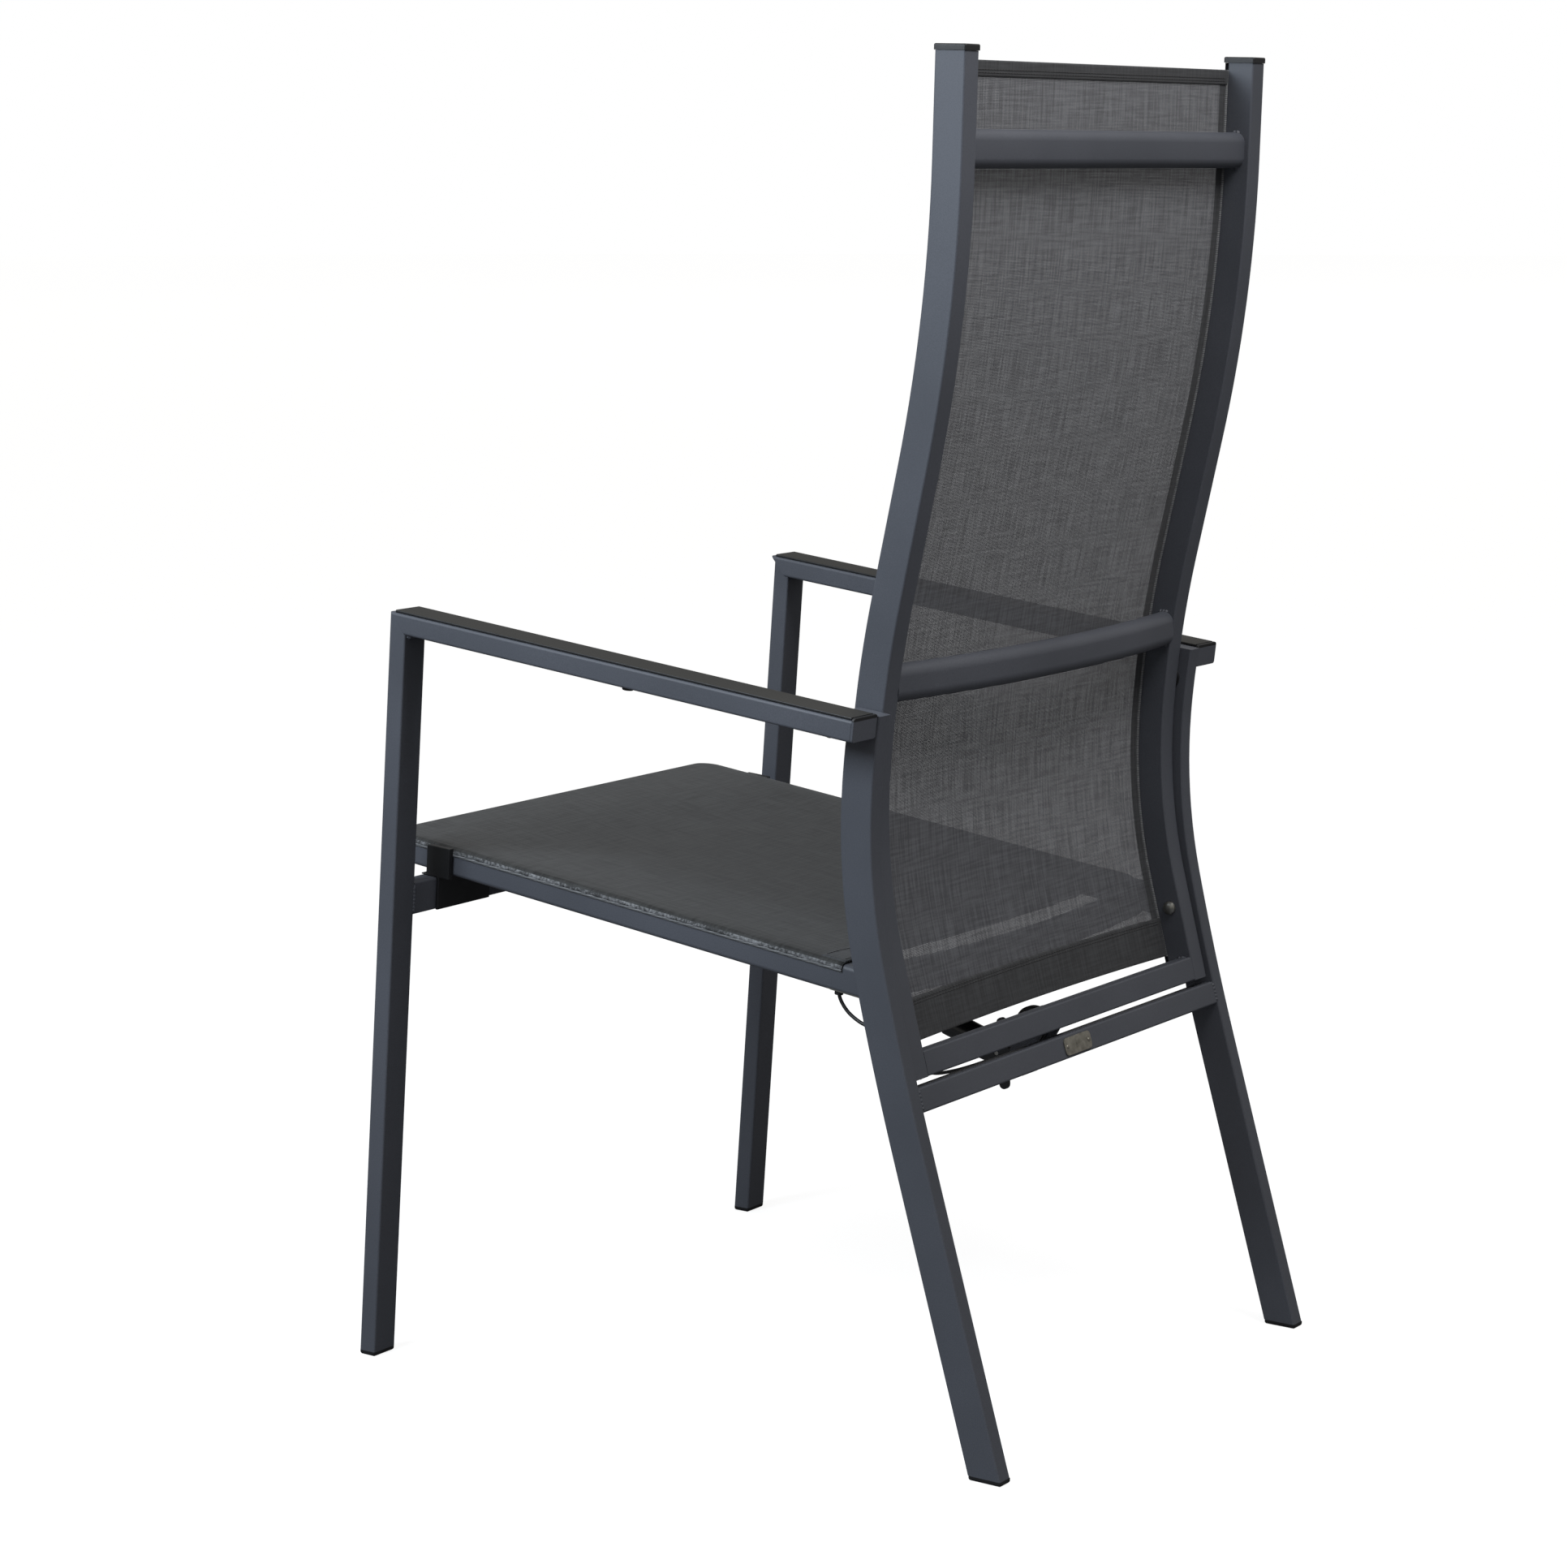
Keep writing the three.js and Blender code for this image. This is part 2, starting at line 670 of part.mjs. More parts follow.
const postFront = side(postAtHinge.y, postAtHinge.z)
  .addScaledVector(rearward(postAtHinge.lean), -postDepth / 2);
{
  const tube = sweep(roundedRectangle(postWidth, postDepth, tubeCorner), postLine, postSteps);
  const grooveDepth = beadDepth + seatGap;
  const grooveOutline = roundedRectangle(
    grooveDepth + overrun, beadWidth + 2 * seatGap, seatGap, (postWidth + overrun - grooveDepth) / 2, slingSetIn);
  const groove = sweep(grooveOutline, postLine, postSteps);
  const [boreFrom, hingeBoreTo] = [postOuter - pivotBore, postOuter - 2 * seatGap];
  const bore = crossPin(pivotBoltRadius + seatGap, boreFrom, postOuter + overrun, pivotY, pivotZ);
  const hingeBore = crossPin(hingeBoltRadius + seatGap, postInner - overrun, hingeBoreTo, hingeY, hingeZ);
  const up = upward(postAtHinge.lean);
  const rear = rearward(postAtHinge.lean);
  const swing = seatSlope - postAtHinge.lean;
  const slotTop = (tongueRadius + 2 * swingGap) / Math.cos(swing) + (postDepth / 2) * Math.tan(swing);
  const slotFoot = tongueRadius + 2 * swingGap;
  const slotRear = tongueRadius + swingGap;
  const slot = box(tongueThickness + 2 * seatGap, slotRear + postDepth, slotTop + slotFoot);
  const slotMiddle = hinge.clone()
    .addScaledVector(up, (slotTop - slotFoot) / 2)
    .addScaledVector(rear, (slotRear - postDepth) / 2);
  slot.rotateX(-postAtHinge.lean).translate(postX, slotMiddle.x, slotMiddle.y);
  addPair(back, "back_post", cut(tube, groove, bore, hingeBore, slot), frameFinish);
}
{
  const top = postLine.at(postLine.total);
  const section = roundedRectangle(postWidth, postDepth, tubeCorner);
  const cap = plate(section, postCapThickness, cornerSegments)
    .rotateX(-top.lean)
    .translate(postX, top.y, top.z + seatGap + postCapThickness / 2);
  addPair(back, "post_cap", cap, plasticFinish);
}

// Recline pivots: a washer in the gap between leg and post, and a bolt through both
{
  const boltFrom = postOuter - pivotBore + seatGap;
  const boltTo = rearLegOuter - 3 * seatGap;
  addPair(base, "pivot_bolt", crossPin(pivotBoltRadius, boltFrom, boltTo, pivotY, pivotZ), steelFinish);
  const legInner = rearLegOuter - rearLegWidth;
  const washer = crossPin(washerRadius, postOuter + seatGap, legInner - seatGap, pivotY, pivotZ);
  const hole = crossPin(pivotBoltRadius + seatGap, postInner, rearLegOuter, pivotY, pivotZ);
  addPair(base, "pivot_washer", cut(washer, hole), plasticFinish);
}

// Bars and rail between the posts
const betweenPosts = 2 * (postInner - seatGap);
{
  const at = postLine.at(postLine.reach(headBarCentre));
  const middle = side(at.y, at.z)
    .addScaledVector(rearward(at.lean), postDepth / 2 - headBarInset - headBarDepth / 2);
  const section = roundedRectangle(headBarDepth, headBarHeight, headBarDepth / 2);
  const bar = sidePlate(section, 0, betweenPosts).rotateX(-at.lean).translate(0, middle.x, middle.y);
  add(back, "head_bar", bar, frameFinish);
}
{
  const at = postLine.at(postLine.reach(lumbarBarCentre));
  const middle = side(at.y, at.z).addScaledVector(rearward(at.lean), (postDepth - lumbarBarDepth) / 2);
  const half = betweenPosts / 2;
  const reachOut = half + overrun;
  const bow = new THREE.QuadraticBezierCurve3(
    new THREE.Vector3(-reachOut, middle.x, middle.y),
    new THREE.Vector3(0, middle.x + 2 * lumbarBow, middle.y),
    new THREE.Vector3(reachOut, middle.x, middle.y));
  const section = roundedRectangle(lumbarBarHeight, lumbarBarDepth, lumbarBarDepth / 2);
  const bar = sweep(section, bow, bowSteps, ovalSegments);
  const rightEnd = halfSpace(new THREE.Vector3(half, 0, 0), new THREE.Vector3(1, 0, 0));
  const leftEnd = halfSpace(new THREE.Vector3(-half, 0, 0), new THREE.Vector3(-1, 0, 0));
  const trimmed = cut(bar, rightEnd.translate(0, middle.x, middle.y), leftEnd.translate(0, middle.x, middle.y));
  add(back, "lumbar_bar", trimmed, frameFinish);
}
const lowerRailMiddle = side(postFootY, postFootZ)
  .addScaledVector(upward(postLean), lowerRailHeight / 2)
  .addScaledVector(rearward(postLean), (postDepth - lowerRailDepth) / 2);
{
  const section = roundedRectangle(lowerRailDepth, lowerRailHeight, tubeCorner);
  const rail = sidePlate(section, 0, betweenPosts).rotateX(-postLean)
    .translate(0, lowerRailMiddle.x, lowerRailMiddle.y);
  add(back, "back_lower_rail", rail, frameFinish);
}

// Back sling: a taut sheet from bead to bead, with a sewn hem at each end
const postPlace = (distance, setIn) => {
  const { y, z, lean } = postLine.at(distance);
  return side(y, z).addScaledVector(rearward(lean), -setIn);
};
const slingFrom = postLine.reach(backSlingBottom);
const slingTo = postLine.reach(backSlingTop);
function ribbon(place, from, to, thickness, steps) {
  const shape = new THREE.Shape();
  const rung = (i) => from + ((to - from) * i) / steps;
  for (let i = 0; i <= steps; i += 1) {
    const point = place(rung(i), -thickness / 2);
    if (i === 0) shape.moveTo(point.x, point.y);
    else shape.lineTo(point.x, point.y);
  }
  for (let i = steps; i >= 0; i -= 1) {
    const point = place(rung(i), thickness / 2);
    shape.lineTo(point.x, point.y);
  }
  shape.closePath();
  return shape;
}
{
  const width = 2 * (postInner - beadProud - seatGap);
  const place = (distance, offset) => postPlace(distance, slingSetIn + offset);
  const sheet = sidePlate(ribbon(place, slingFrom, slingTo, slingThickness, postSteps), 0, width);
  const hem = (from, to) => sidePlate(ribbon(place, from, to, slingHemThickness, 2), 0, width);
  const bottomHem = hem(slingFrom, slingFrom + backSlingBottomHem);
  const topHem = hem(slingTo - backSlingTopHem, slingTo);
  add(back, "back_sling", join(sheet, bottomHem, topHem), slingFinish);
}
{
  const lead = seatGap;
  const section = roundedRectangle(beadDepth + beadProud, beadWidth, beadWidth / 2 - lead,
    postWidth / 2 + beadProud - (beadDepth + beadProud) / 2, slingSetIn);
  const fromLine = postLine.at(slingFrom);
  const bead = sweep(section, postLine, postSteps);
  const below = sidePlane(side(fromLine.y, fromLine.z), upward(fromLine.lean).negate());
  const topLine = postLine.at(slingTo);
  const above = sidePlane(side(topLine.y, topLine.z), upward(topLine.lean));
  addPair(back, "back_bead", cut(bead, below, above), beadFinish);
}

// Seat hinge: a domed bolt from the post's inner face through the tongue
{
  const dome = new THREE.Vector2(hingeHeadHeight, hingeHeadRadius);
  const tip = postOuter - 4 * seatGap;
  const profile = [[tip, 0], [tip, hingeBoltRadius], [postInner - seatGap, hingeBoltRadius]];
  for (let i = 0; i <= domeRings; i += 1) {
    const turn = (Math.PI / 2) * (i / domeRings);
    profile.push([postInner - seatGap - dome.x * Math.sin(turn), dome.y * Math.cos(turn)]);
  }
  profile.at(-1)[1] = 0;
  addPair(back, "hinge_bolt", crossTurned(profile.reverse(), hingeY, hingeZ), steelFinish);
}

// Seat frame, in its own frame: Y runs rearward along the seat from its front edge, Z up from its top
const seatHinge = new THREE.Vector3(0, hingeY, hingeZ).applyMatrix4(seat.matrixWorld.clone().invert());
const railX = seatHalfWidth - railWidth / 2;
const railMiddle = -railHeight / 2;
const tongueFrom = side(seatHinge.y, seatHinge.z);
const tongueTo = side(seatHinge.y - tongueLength, seatHinge.z);
const tongueShape = (grow) => strap(tongueFrom, tongueRadius + grow, tongueTo, tongueRadius + grow);
{
  const rear = seatHinge.y + postDepth;
  const length = rear - (railWidth / 2 + seatBendRadius + seatGap);
  const rail = plate(roundedRectangle(railWidth, railHeight, railCorner), length, ovalSegments)
    .rotateX(Math.PI / 2).translate(railX, rear - length / 2, railMiddle);
  const faceOut = rearward(postAtHinge.lean);
  const end = into(seat, sidePlane(postFront.clone().addScaledVector(faceOut, -railToPost), faceOut));
  const pocket = sidePlate(tongueShape(seatGap), postX, tongueThickness + 2 * seatGap);
  addPair(seat, "seat_rail", cut(rail, end, pocket), frameFinish);
  const hole = crossPin(hingeBoltRadius + seatGap, postInner, postOuter, seatHinge.y, seatHinge.z);
  const tongue = cut(sidePlate(tongueShape(0), postX, tongueThickness), hole);
  addPair(seat, "seat_tongue", tongue, steelFinish);
}
{
  const bendY = railWidth / 2 + seatBendRadius;
  const bendX = railX - seatBendRadius;
  const quarter = Math.PI / 2;
  const [leftCentre, rightCentre] = [bendX, -bendX].map((x) => new THREE.Vector3(x, bendY, railMiddle));
  const leftBend = new LevelArc(leftCentre, seatBendRadius, 0, -quarter);
  const rightBend = new LevelArc(rightCentre, seatBendRadius, -quarter, -2 * quarter);
  const straight = new THREE.LineCurve3(leftBend.getPoint(1), rightBend.getPoint(0));
  const section = roundedRectangle(railHeight, railWidth, railCorner);
  const bends = [leftBend, rightBend].map((bend) => sweep(section, bend, bendSteps));
  add(seat, "seat_front_bar", join(sweep(section, straight, 1), ...bends), frameFinish);
}

// The seat's rear bar dips a little at its middle, just ahead of the hinge.
const betweenRails = 2 * (seatHalfWidth - railWidth - seatGap);
const rearBarY = seatHinge.y - seatRearBarFromHinge;
{
  const half = betweenRails / 2;
  const reachOut = half + overrun;
  const level = railMiddle - seatRearBarDrop;
  const dip = new THREE.QuadraticBezierCurve3(
    new THREE.Vector3(-reachOut, rearBarY, level),
    new THREE.Vector3(0, rearBarY, level - 2 * seatRearBarDip),
    new THREE.Vector3(reachOut, rearBarY, level));
  const section = roundedRectangle(seatRearBarDepth, seatRearBarHeight, seatRearBarDepth / 2);
  const bar = sweep(section, dip, bowSteps, ovalSegments);
  const ends = [1, -1].map((sign) => halfSpace(
    new THREE.Vector3(sign * half, rearBarY, level), new THREE.Vector3(sign, 0, 0)));
  add(seat, "seat_rear_bar", cut(bar, ...ends), frameFinish);
}

// Seat sling: taut over the frame from edge to edge, with a slight sag inside it, and hemmed ahead of
// the rear bar
{
  const rearEdge = rearBarY - seatRearBarDepth / 2 - seatSlingToBar;
  const frontEdge = railCorner;
  const outerBend = seatBendRadius + railWidth / 2;
  const widest = seatHalfWidth - railCorner;
  const halfWidthAt = (y) => {
    const ahead = Math.max(0, outerBend - y);
    return widest - outerBend + Math.sqrt(outerBend * outerBend - ahead * ahead);
  };
  const place = (u, v) => {
    const y = frontEdge + (rearEdge - frontEdge) * v ** slingRowShare;
    const x = halfWidthAt(y) * u;
    const inside = THREE.MathUtils.smoothstep(y, 2 * railWidth, sagRun);
    const across = Math.min(1, Math.abs(x) / (seatHalfWidth - railWidth));
    return new THREE.Vector3(x, y, seatGap - seatSlingSag * (1 - across * across) * inside);
  };
  add(seat, "seat_sling", sheet(place, slingColumns, slingRows, slingThickness), slingFinish);
}

// Spring bracket on the back: two ears down from the lower rail, with a pin through the release head
function crossPinWithHeads(half, y, z) {
  const end = half + springPinHead;
  const profile = [
    [-end, 0], [-end, springPinHeadRadius], [-half, springPinHeadRadius], [-half, springPinRadius],
    [half, springPinRadius], [half, springPinHeadRadius], [end, springPinHeadRadius], [end, 0]];
  return crossTurned(profile, y, z);
}
const earX = headWidth / 2 + seatGap + earThickness / 2;
{
  const railFace = lowerRailMiddle.clone()
    .addScaledVector(rearward(postLean), -lowerRailDepth / 2 - seatGap);
  const earTop = railFace.clone()
    .addScaledVector(rearward(postLean), -earAhead)
    .addScaledVector(upward(postLean), -earDrop);
  const ear = sidePlate(strap(springRear, earEyeRadius, earTop, earRadius), earX, earThickness);
  const behind = sidePlane(railFace, rearward(postLean));
  const hole = crossPin(springPinRadius + seatGap, 0, 2 * earX, springRearY, springRearZ);
  addPair(back, "spring_ear", cut(ear, behind, hole), frameFinish);
  const half = earX + earThickness / 2 + seatGap;
  add(back, "spring_rear_pin", crossPinWithHeads(half, springRearY, springRearZ), steelFinish);
}

// Spring bracket on the base: a plate on the front cross rail with two ears and a pin, loose in the eye
{
  const face = frontRailRear.clone().addScaledVector(rearward(frontLegLean), seatGap);
  const frontEarX = eyeThickness / 2 + seatGap * 2 + earThickness / 2;
  const plateWidth = 2 * frontEarX + earThickness;
  const plateHeight = frontRailHeight - 2 * tubeCorner;
  const backPlate = box(plateWidth, bracketPlateThickness, plateHeight).rotateX(-frontLegLean);
  const plateMiddle = face.clone().addScaledVector(rearward(frontLegLean), bracketPlateThickness / 2);
  backPlate.translate(0, plateMiddle.x, plateMiddle.y);
  const root = plateMiddle.clone().add(side(springPinRadius, 0));
  const outline = strap(springFront, bracketEarRadius, root, bracketEarRadius);
  const behind = sidePlane(face, rearward(frontLegLean).negate());
  const hole = crossPin(springPinRadius + seatGap, -plateWidth, plateWidth, springFrontY, springFrontZ);
  const ears = [1, -1].map((sign) => sidePlate(outline, sign * frontEarX, earThickness));
  const inEye = frontEarX + earThickness / 2 + seatGap;
  add(base, "spring_front_bracket", cut(join(backPlate, ...ears), behind, hole), frameFinish);
  add(base, "spring_front_pin", crossPinWithHeads(inEye, springFrontY, springFrontZ), steelFinish);
}

// Gas spring, in its own frame: Y runs rearward along the spring, from zero at the rear pin
{
  const block = strap(side(0, 0), headHeight / 2, side(-headFront + headHeight / 2, 0), headHeight / 2);
  const body = sidePlate(block, 0, headWidth);
  const nose = box(headWidth, headHeight / 2, headHeight).translate(0, -headFront + headHeight / 4, 0);
  const collar = new THREE.CylinderGeometry(collarRadius, collarRadius, collarLength, roundSegments)
    .translate(0, -headFront - collarLength / 2, 0);
  const pinHole = crossPin(springPinRadius + seatGap, -headWidth, headWidth, 0, 0);
  const rodHole = new THREE.CylinderGeometry(rodRadius + seatGap, rodRadius + seatGap, headFront, roundSegments)
    .translate(0, -headFront - collarLength / 2, 0);
  const slotRear = -springPinRadius - 2 * swingGap;
  const slotLength = leverTopBack + leverRadius + swingGap + slotRear;
  const slot = box(leverThickness + 2 * seatGap, slotLength, 2 * headHeight)
    .translate(0, slotRear - slotLength / 2, 0);
  const leverPinHole = crossPin(leverPinRadius + seatGap, -headWidth, headWidth, -leverPinBack, 0);
  const head = cut(join(body, nose, collar), pinHole, rodHole, slot, leverPinHole);
  add(spring, "release_head", head, springFinish);
  const pinHalf = headWidth / 2 - seatGap;
  add(spring, "lever_pin", crossPin(leverPinRadius, -pinHalf, pinHalf, -leverPinBack, 0), steelFinish);
  const arm = (to) => sidePlate(strap(side(-leverPinBack, 0), leverRadius, to, leverRadius), 0, leverThickness);
  const lever = join(arm(side(-leverTopBack, leverTopRise)), arm(side(-leverFootBack, -leverFootDrop)));
  const leverHole = crossPin(leverPinRadius + seatGap, -headWidth, headWidth, -leverPinBack, 0);
  add(spring, "release_lever", cut(lever, leverHole), steelFinish);
}
const rodRear = -headFront - collarLength / 2 + headFront / 2 - seatGap;
const gland = -headFront - collarLength - rodVisible;
const rodFront = gland - rodInside;
{
  const rod = new THREE.CylinderGeometry(rodRadius, rodRadius, rodRear - rodFront, roundSegments)
    .translate(0, (rodRear + rodFront) / 2, 0);
  add(spring, "piston_rod", rod, steelFinish);
}
{
  const front = -springLength + cylinderFrontGap;
  const tube = new THREE.CylinderGeometry(cylinderRadius, cylinderRadius, gland - front, roundSegments)
    .translate(0, (gland + front) / 2, 0);
  const boreFront = rodFront - rodTravel - swingGap;
  const boreRadius = rodRadius + seatGap;
  const bore = new THREE.CylinderGeometry(boreRadius, boreRadius, gland - boreFront + overrun, roundSegments)
    .translate(0, (gland + boreFront + overrun) / 2, 0);
  add(spring, "gas_cylinder", cut(tube, bore), springFinish);
  const neckRear = front - seatGap;
  const neckLength = cylinderFrontGap - eyeBore - seatGap * 4;
  const neck = new THREE.CylinderGeometry(cylinderNeckRadius, cylinderNeckRadius, neckLength, roundSegments)
    .translate(0, neckRear - neckLength / 2, 0);
  const ring = crossPin(eyeRadius, -eyeThickness / 2, eyeThickness / 2, -springLength, 0);
  const hole = crossPin(eyeBore, -eyeThickness, eyeThickness, -springLength, 0);
  add(spring, "cylinder_eye", cut(join(neck, ring), hole), springFinish);
}

// Release button in the left arm, with a flanged bush round it
{
  const centre = armPoint(buttonY, 0);
  const stand = (geometry, lift) => {
    const at = side(centre.y, centre.z).addScaledVector(armUp, lift);
    return geometry.rotateX(Math.PI / 2 - armFall).translate(centre.x, at.x, at.y);
  };
  const length = buttonInside + buttonProud;
  const button = new THREE.CylinderGeometry(buttonRadius, buttonRadius, length, roundSegments);
  add(base, "release_button", stand(button, (buttonInside - buttonProud) / 2), plasticFinish);
  const flange = new THREE.CylinderGeometry(bushRadius, bushRadius, bushFlange, roundSegments);
  const opening = new THREE.CylinderGeometry(
    buttonRadius + seatGap, buttonRadius + seatGap, overrun, roundSegments);
  add(base, "button_bush", stand(cut(flange, opening), -bushFlange / 2 - seatGap), plasticFinish);
}

// Release cable: each end stops a clearance short of the tube or ear that it goes into, inside a grommet.
{
  const tube = (places) => {
    const route = new THREE.CatmullRomCurve3(places);
    return sweep(disc(cableRadius), route, 2 * places.length, cableSegments);
  };
  const loopX = postOuter - cableLoopIn;
  const [earEnd, postEnd] = [earX + earThickness / 2 + 2 * seatGap, postInner - 2 * seatGap];
  const loop = cableLoop.map(([y, z]) => new THREE.Vector3(loopX, y, z));
  const run = cableRun.map(([share, y, z]) => new THREE.Vector3(
    THREE.MathUtils.lerp(earEnd, postEnd, share), y, z));
  add(back, "release_cable_loop", tube(loop), plasticFinish);
  add(back, "release_cable_run", tube(run), plasticFinish);
  const grommet = () => {
    const ring = new THREE.CylinderGeometry(grommetRadius, grommetRadius, grommetHeight, grommetSegments);
    const holeRadius = cableRadius + 3 * seatGap;
    return cut(ring, new THREE.CylinderGeometry(holeRadius, holeRadius, 2 * grommetHeight, grommetSegments));
  };
  const standOff = seatGap + grommetHeight / 2;
  const loopStart = loop[0].clone().applyMatrix4(seat.matrixWorld.clone().invert());
  const underRail = grommet().rotateX(Math.PI / 2).translate(loopX, loopStart.y, -railHeight - standOff);
  add(seat, "rail_cable_grommet", underRail, plasticFinish);
  const front = meeting(postFront, upward(postAtHinge.lean), side(0, loop.at(-1).z), side(1, 0))
    .addScaledVector(rearward(postAtHinge.lean), -standOff);
  const onFront = grommet().rotateX(-postAtHinge.lean).translate(loopX, front.x, front.y);
  add(back, "post_front_grommet", onFront, plasticFinish);
  const onInner = grommet().rotateZ(Math.PI / 2).translate(postInner - standOff, run[0].y, run[0].z);
  add(back, "post_inner_grommet", onInner, plasticFinish);
}

// The chair stands over the middle of its own outline.
chair.updateMatrixWorld(true);
const outline = new THREE.Box3().setFromObject(chair);
chair.position.y = -(outline.min.y + outline.max.y) / 2;

export default chair;
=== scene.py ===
import math

import bmesh
import bpy
from mathutils import Matrix, Vector


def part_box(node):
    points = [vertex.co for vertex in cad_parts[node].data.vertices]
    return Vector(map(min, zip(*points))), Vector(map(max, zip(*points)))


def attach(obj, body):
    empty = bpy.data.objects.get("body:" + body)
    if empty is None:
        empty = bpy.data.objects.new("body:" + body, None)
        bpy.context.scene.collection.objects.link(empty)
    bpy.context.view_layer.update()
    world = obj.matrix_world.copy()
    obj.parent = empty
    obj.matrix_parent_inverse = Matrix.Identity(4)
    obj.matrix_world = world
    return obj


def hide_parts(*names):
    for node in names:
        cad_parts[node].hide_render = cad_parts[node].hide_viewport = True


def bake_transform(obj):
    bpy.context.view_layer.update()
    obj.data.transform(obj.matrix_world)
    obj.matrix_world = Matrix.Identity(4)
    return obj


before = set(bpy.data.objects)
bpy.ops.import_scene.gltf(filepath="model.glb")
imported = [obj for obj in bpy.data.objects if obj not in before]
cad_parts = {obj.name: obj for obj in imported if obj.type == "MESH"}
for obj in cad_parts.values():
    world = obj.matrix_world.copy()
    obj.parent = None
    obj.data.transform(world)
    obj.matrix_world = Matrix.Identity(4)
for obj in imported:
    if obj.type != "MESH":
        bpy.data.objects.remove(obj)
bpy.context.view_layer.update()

# The studio: a wide pale floor, a white sky that lights gently, one broad cool light from the sitter's front
# left and a smaller one from behind and above. The camera stands behind the chair's left rear corner.
CAMERA_PLACE = (2.6396, 1.7978, 1.0243)
CAMERA_VIEW = (-0.8062, -0.5687, -0.1639)
CAMERA_LENS = 85.86
CAMERA_SENSOR = 36.0


def linear(code):
    """Turns an sRGB hex colour to linear red, green, blue and alpha."""
    parts = [int(code[i:i + 2], 16) / 255 for i in (1, 3, 5)]
    return tuple(p / 12.92 if p <= 0.04045 else ((p + 0.055) / 1.055) ** 2.4 for p in parts) + (1.0,)


def node(tree, kind, links=(), values=(), **settings):
    """Adds a node: links and values are given by the name or the number of the socket."""
    made = tree.nodes.new(kind)
    for name, value in settings.items():
        setattr(made, name, value)
    for socket, value in dict(values).items():
        made.inputs[socket].default_value = value
    for socket, source in dict(links).items():
        tree.links.new(source, made.inputs[socket])
    return made


def material(name):
    """A new material and its tree, which is empty."""
    made = bpy.data.materials.new(name)
    made.use_nodes = True
    made.node_tree.nodes.clear()
    return made, made.node_tree


camera = bpy.data.objects.new("camera", bpy.data.cameras.new("camera"))
bpy.context.scene.collection.objects.link(camera)
camera.location = CAMERA_PLACE
camera.rotation_euler = Vector(CAMERA_VIEW).to_track_quat("-Z", "Y").to_euler()
camera.data.lens = CAMERA_LENS
camera.data.sensor_width = CAMERA_SENSOR
camera.data.sensor_fit = "HORIZONTAL"
camera.data.clip_start, camera.data.clip_end = 0.05, 200
bpy.context.scene.camera = camera
bpy.context.scene.view_settings.view_transform = "Standard"

# The floor glows a little to the eye, so that it runs into the sky, and throws little light back up.
FLOOR_GLOW, FLOOR_SHADOW, FLOOR_BOUNCE = 0.89, "#9a9a9a", "#6e6e70"
FLOOR_RADIUS = 40.0
studio_white, tree = material("studio_white_paint")
noise = node(tree, "ShaderNodeTexNoise", values={"Scale": 3.0, "Detail": 2.0})
tint = node(tree, "ShaderNodeMix", {"Factor": noise.outputs["Fac"]},
            {6: linear("#fafafa"), 7: linear("#ffffff")}, data_type="RGBA")
glow = node(tree, "ShaderNodeEmission", {"Color": tint.outputs[2]}, {"Strength": FLOOR_GLOW})
shadowed = node(tree, "ShaderNodeBsdfDiffuse", values={"Color": linear(FLOOR_SHADOW)})
bounce = node(tree, "ShaderNodeBsdfDiffuse", values={"Color": linear(FLOOR_BOUNCE)})
to_eye = node(tree, "ShaderNodeAddShader", {0: glow.outputs[0], 1: shadowed.outputs[0]})
path = node(tree, "ShaderNodeLightPath")
both = node(tree, "ShaderNodeMixShader",
            {0: path.outputs["Is Camera Ray"], 1: bounce.outputs[0], 2: to_eye.outputs[0]})
node(tree, "ShaderNodeOutputMaterial", {"Surface": both.outputs[0]})
bm = bmesh.new()
bmesh.ops.create_circle(bm, cap_ends=True, segments=64, radius=FLOOR_RADIUS)
mesh = bpy.data.meshes.new("studio_floor")
bm.to_mesh(mesh)
bm.free()
floor = bpy.data.objects.new("studio_floor", mesh)
bpy.context.scene.collection.objects.link(floor)
mesh.materials.append(studio_white)

# The sky is seen white, and lights the chair mostly from above, as a ceiling of soft boxes does.
SKY_LOW, SKY_HIGH = 0.29, 0.46
sky = bpy.data.worlds.new("studio_sky")
sky.use_nodes = True
tree = sky.node_tree
tree.nodes.clear()
seen = node(tree, "ShaderNodeBackground", values={"Color": linear("#ffffff"), "Strength": 1.0})
way = node(tree, "ShaderNodeTexCoord")
rise = node(tree, "ShaderNodeSeparateXYZ", {"Vector": way.outputs["Generated"]})
power = node(tree, "ShaderNodeMapRange", {"Value": rise.outputs["Z"]}, {"To Min": SKY_LOW, "To Max": SKY_HIGH})
fill = node(tree, "ShaderNodeBackground", {"Strength": power.outputs[0]}, {"Color": linear("#fffdfa")})
path = node(tree, "ShaderNodeLightPath")
both = node(tree, "ShaderNodeMixShader", {0: path.outputs["Is Camera Ray"], 1: fill.outputs[0], 2: seen.outputs[0]})
node(tree, "ShaderNodeOutputWorld", {"Surface": both.outputs[0]})
bpy.context.scene.world = sky

